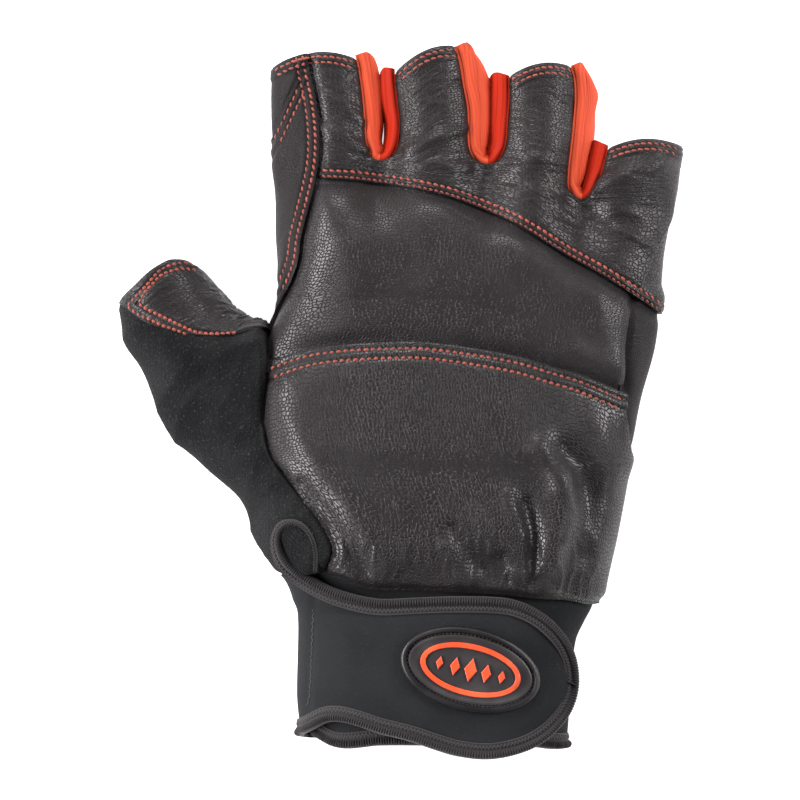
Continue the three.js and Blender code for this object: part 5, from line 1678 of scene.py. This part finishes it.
def makeBadge():
    plate = ovalRings("badgePlate", badge["length"], badge["width"], badge["rim"])
    seatBadge(plate, 0.0)
    finishPiece(plate, rubber["plate"], ["badge", "badge_rim"], 0, 40)
    plate.data.materials.append(rubber["rim"])
    rings = readRows(plate.data.polygons, "center")
    turn = math.radians(-badge["turn"])
    x, y = rings[:, 0] - badge["centre"][0], rings[:, 1] - badge["centre"][1]
    acrossX = (x * math.cos(turn) - y * math.sin(turn)) / (badge["length"] / 2 - 0.0021)
    acrossY = (x * math.sin(turn) + y * math.cos(turn)) / (badge["width"] / 2 - 0.0021)
    plate.data.polygons.foreach_set("material_index", (np.hypot(acrossX, acrossY) > 1).astype(int))
    length, width, band = badge["oval"]
    top = badge["rim"][-1][1]
    ring = ovalRings("badgeOval", length, width,
                     [(0, 0), (0, 0.45), (0.15, 0.6), (band / mm - 0.15, 0.6), (band / mm, 0.45),
                                                  (band / mm + 0.001, 0.0)], False)
    seatBadge(ring, top * mm - 0.0001)
    finishPiece(ring, rubber["orange"], ["badge_oval"], 0, 40)
    parts = []
    for index in range(badge["diamonds"]):
        place = index - (badge["diamonds"] - 1) / 2
        size = 1 - 0.22 * abs(place)
        bpy.ops.object.select_all(action="DESELECT")
        bpy.ops.mesh.primitive_circle_add(vertices=4, radius=0.5, fill_type="NGON")
        one = bpy.context.object
        bpy.ops.object.mode_set(mode="EDIT")
        bpy.ops.mesh.select_all(action="SELECT")
        bpy.ops.transform.resize(value=(badge["diamondLength"] * size, badge["diamondHeight"] * size, 1))
        bpy.ops.transform.translate(value=(place * badge["pitch"], 0, 0))
        bpy.ops.mesh.extrude_region()
        bpy.ops.transform.translate(value=(0, 0, 0.00045))
        bpy.ops.mesh.inset(thickness=0.00022, depth=0)
        bpy.ops.transform.translate(value=(0, 0, 0.00018))
        bpy.ops.object.mode_set(mode="OBJECT")
        parts.append(one)
    for one in parts:
        one.select_set(True)
    bpy.context.view_layer.objects.active = parts[0]
    bpy.ops.object.join()
    parts[0].name = "badgeDiamonds"
    seatBadge(parts[0], top * mm - 0.0001)
    finishPiece(parts[0], rubber["orange"],
                ["badge_diamond_%d" % (index + 1) for index in range(badge["diamonds"])],
                0, 30)
    return plate


badgePlate = makeBadge()
print("badge made")


def surfaceUnder(pieces):
    places, faces, start = [], [], 0
    for piece in pieces:
        places.extend(readRows(piece.data.vertices, "co").tolist())
        faces.extend([[start + index for index in polygon.vertices] for polygon in piece.data.polygons])
        start = len(places)
    return BVHTree.FromPolygons(places, faces)


def shiftedLine(points, distance):
    run = unit(np.gradient(points, axis=0))
    return points + np.stack([-run[:, 1], run[:, 0]], axis=-1) * distance


def stitchBase():
    bpy.ops.object.select_all(action="DESELECT")
    bpy.ops.mesh.primitive_uv_sphere_add(segments=8, ring_count=6, radius=0.5)
    base = bpy.context.object
    places = readRows(base.data.vertices, "co")
    faces = [list(polygon.vertices) for polygon in base.data.polygons]
    bpy.data.objects.remove(base)
    rod = np.stack([places[:, 2], places[:, 0], places[:, 1]], axis=-1)
    rod[:, 0] = np.sign(rod[:, 0]) * np.abs(rod[:, 0] * 2) ** 0.8 / 2
    rod[:, 2] -= 1.6 * rod[:, 0] ** 2  # ends pulled into the cloth
    return rod * np.array([1, 1, 0.8]), faces


def makeStitches(name, seams, tree, material):
    rng = np.random.default_rng(17)
    base, faces = stitchBase()
    places, polygons, tones = [], [], []
    for row in seams:
        path = resample(np.array(row["line"]), row["pitch"] * mm)
        for index in range(len(path) - 1):
            spot = (path[index] + path[index + 1]) / 2
            run = path[index + 1] - path[index]
            hit, normal = tree.ray_cast(Vector((spot[0], spot[1], 0.08)), Vector((0, 0, -1)))[:2]
            if hit is None:
                continue
            normal = normal if normal.z > 0 else -normal
            if normal.z < 0.1:
                continue
            angle = math.atan2(run[1], run[0]) + math.radians(row.get("skew", 0) + rng.normal(0, 4))
            along = Vector((math.cos(angle), math.sin(angle), 0))
            side = normal.cross(along).normalized()
            along = side.cross(normal).normalized()
            turn = np.array([list(along), list(side), list(normal)])
            size = np.array([row["length"], row["thick"], row["thick"]]) * mm * (1 + rng.normal(0, 0.05))
            spotAt = np.array(hit) + np.array(normal) * row["thick"] * mm * 0.1
            polygons.extend([[len(places) + corner for corner in face] for face in faces])
            places.extend(((base * size) @ turn + spotAt).tolist())
            tones.extend([float(np.clip(row["tone"] + rng.normal(0, 0.14), 0, 1))] * len(base))
    mesh = bpy.data.meshes.new(name)
    mesh.from_pydata(places, [], polygons)
    piece = bpy.data.objects.new(name, mesh)
    bpy.context.scene.collection.objects.link(piece)
    layer = mesh.attributes.new("tone", "FLOAT", "POINT")
    layer.data.foreach_set("value", np.array(tones, dtype=np.float32))
    mesh.update()
    return finishPiece(piece, material, [], 0, 60)


def seamPoints(table, low, high, key="x"):
    places = np.linspace(low, high, 160)
    if key == "x":
        return np.stack([places * mm, seamY(table, places * mm)], axis=-1)
    return np.stack([seamX(table, places * mm), places * mm], axis=-1)


def hemPoints(finger, low, high):
    x = np.linspace(low, high, 60) * mm
    return np.stack([x, hemY(finger, x)], axis=-1)


panelTree = surfaceUnder([fingerPanel, heelPanel, indexSide, indexGusset, outerSide])
upperLine = seamPoints(upperEdge, -20.8, 69.6)
lowerLine = seamPoints(lowerEdge, -35.0, 59.4)
indexLine = seamPoints(indexEdge, 28.5, 91.5, "y")
gussetLine = seamPoints(gussetEdge, -34.0, -27.6)
panelRows = [
    {"line": shiftedLine(upperLine, rows["upper"][1]), "pitch": 1.85, "length": 1.6, "thick": 0.78,
     "skew": -16, "tone": 0.75},
    {"line": shiftedLine(upperLine, rows["upper"][0]), "pitch": 1.5, "length": 1.25, "thick": 0.62,
     "skew": -14, "tone": 0.4},
    {"line": shiftedLine(lowerLine, -rows["lower"][0]), "pitch": 1.78, "length": 1.3, "thick": 0.85,
     "tone": 0.5},
    {"line": shiftedLine(lowerLine, -rows["lower"][1]), "pitch": 1.78, "length": 1.3, "thick": 0.85,
     "tone": 0.6},
    {"line": shiftedLine(indexLine, rows["index"][0]), "pitch": 1.7, "length": 1.5, "thick": 0.68,
     "skew": 26, "tone": 0.65},
    {"line": shiftedLine(indexLine, rows["index"][1]), "pitch": 1.7, "length": 1.5, "thick": 0.62,
     "skew": 26, "tone": 0.45},
    {"line": shiftedLine(gussetLine, -rows["gusset"][0]), "pitch": 1.7, "length": 1.5, "thick": 0.62,
     "skew": 18, "tone": 0.5},
    {"line": shiftedLine(gussetLine, -rows["gusset"][1]), "pitch": 1.7, "length": 1.5, "thick": 0.62,
     "skew": 18, "tone": 0.55},
]
for finger, (low, high) in zip(fingers, ((-34.0, -11.6), (-1.4, 15.9), (28.9, 46.2), (55.0, 74.2))):
    for inset, tone in zip(rows["hem"], (0.55, 0.65)):
        panelRows.append({"line": shiftedLine(hemPoints(finger, low, high), -inset), "pitch": 1.68,
                          "length": 1.55,
                          "thick": 0.62, "skew": -12, "tone": tone})
makeStitches("panelStitches", panelRows, panelTree, thread)

thumbTree = surfaceUnder([thumbPatch])
thumbStitchRows = [{"line": smoothPath(row) * mm, "pitch": 1.46, "length": 1.3, "thick": 0.86, "skew": -14,
                    "tone": tone}
                   for row, tone in zip(thumbSeams, (0.45, 0.6, 0.5, 0.75))]
makeStitches("thumbStitches", thumbStitchRows, thumbTree, thread)

strapSeam = [(-22.7, -55.5), (-22.9, -60.0), (-23.3, -70.0), (-23.7, -77.5), (-24.3, -81.0)]
seamLine = resample(smoothPath(strapSeam) * mm, 0.0009)
seamLine[:, 0] += np.where(np.arange(len(seamLine)) % 2 > 0, 0.0004, -0.0004)
turn = np.linspace(0, 2 * math.pi, 200)
ringX = np.cos(turn) * (badge["length"] / 2 - 0.00185)
ringY = np.sin(turn) * (badge["width"] / 2 - 0.00185)
tilt = math.radians(badge["turn"])
ring = np.stack([ringX * math.cos(tilt) - ringY * math.sin(tilt),
                 ringX * math.sin(tilt) + ringY * math.cos(tilt)], axis=-1)
darkRows = [
    {"line": seamLine, "pitch": 0.9, "length": 1.1, "thick": 0.42, "tone": 0.3},
    {"line": ring + np.array(badge["centre"]), "pitch": 1.05, "length": 0.85, "thick": 0.5, "tone": 0.6},
]
makeStitches("darkStitches", darkRows, surfaceUnder([strapPanel, badgePlate]), darkThread)
print("stitches made")

# Studio: pale floor, soft lights, camera straight above
bpy.ops.object.select_all(action="DESELECT")
bpy.ops.mesh.primitive_plane_add(size=4.0, location=(0, 0, 0))
floor = bpy.context.object
floor.name = "floor"
floorMaterial = bpy.data.materials.new("pale_floor")
floorMaterial.use_nodes = True
setInputs(floorMaterial.node_tree.nodes["Principled BSDF"],
          {"Base Color": (0.93, 0.93, 0.93, 1), "Roughness": 0.9, "Specular IOR Level": 0.1,
           "Emission Color": (1, 1, 1, 1), "Emission Strength": 0.72})
floor.data.materials.append(floorMaterial)

world = bpy.data.worlds.new("studio")
bpy.context.scene.world = world
world.use_nodes = True
setInputs(world.node_tree.nodes["Background"], {"Color": (1.0, 1.0, 1.0, 1), "Strength": 0.14})


def addSoftbox(name, at, size, power):
    light = bpy.data.lights.new(name, "AREA")
    light.shape = "RECTANGLE"
    light.size, light.size_y = size
    light.energy = power
    light.color = (1.0, 0.955, 0.965)
    lamp = bpy.data.objects.new(name, light)
    lamp.location = at
    lamp.rotation_euler = (-Vector(at)).to_track_quat("-Z", "Y").to_euler()
    bpy.context.scene.collection.objects.link(lamp)


addSoftbox("leftSoftbox", (-1.1, 0.0, 0.62), (1.3, 0.38), 33.0)
addSoftbox("rightSoftbox", (0.95, 0.3, 0.6), (0.8, 0.4), 13.0)
addSoftbox("topSoftbox", (-0.1, 1.05, 0.65), (0.6, 0.4), 10.0)

view = {"distance": 2.6, "height": 0.212, "centre": (0.00013, -0.00013), "focus": 0.016}
lens = bpy.data.cameras.new("topCamera")
lens.sensor_width = 36
lens.lens = 18 / (view["height"] / 2 / (view["distance"] - view["focus"]))
lens.clip_start, lens.clip_end = 0.05, 20
camera = bpy.data.objects.new("topCamera", lens)
camera.location = (*view["centre"], view["distance"])
camera.rotation_euler = (0, 0, 0)
bpy.context.scene.collection.objects.link(camera)
bpy.context.scene.camera = camera
bpy.context.scene.view_settings.view_transform = "Standard"
bpy.context.scene.view_settings.look = "None"

print("stage made")
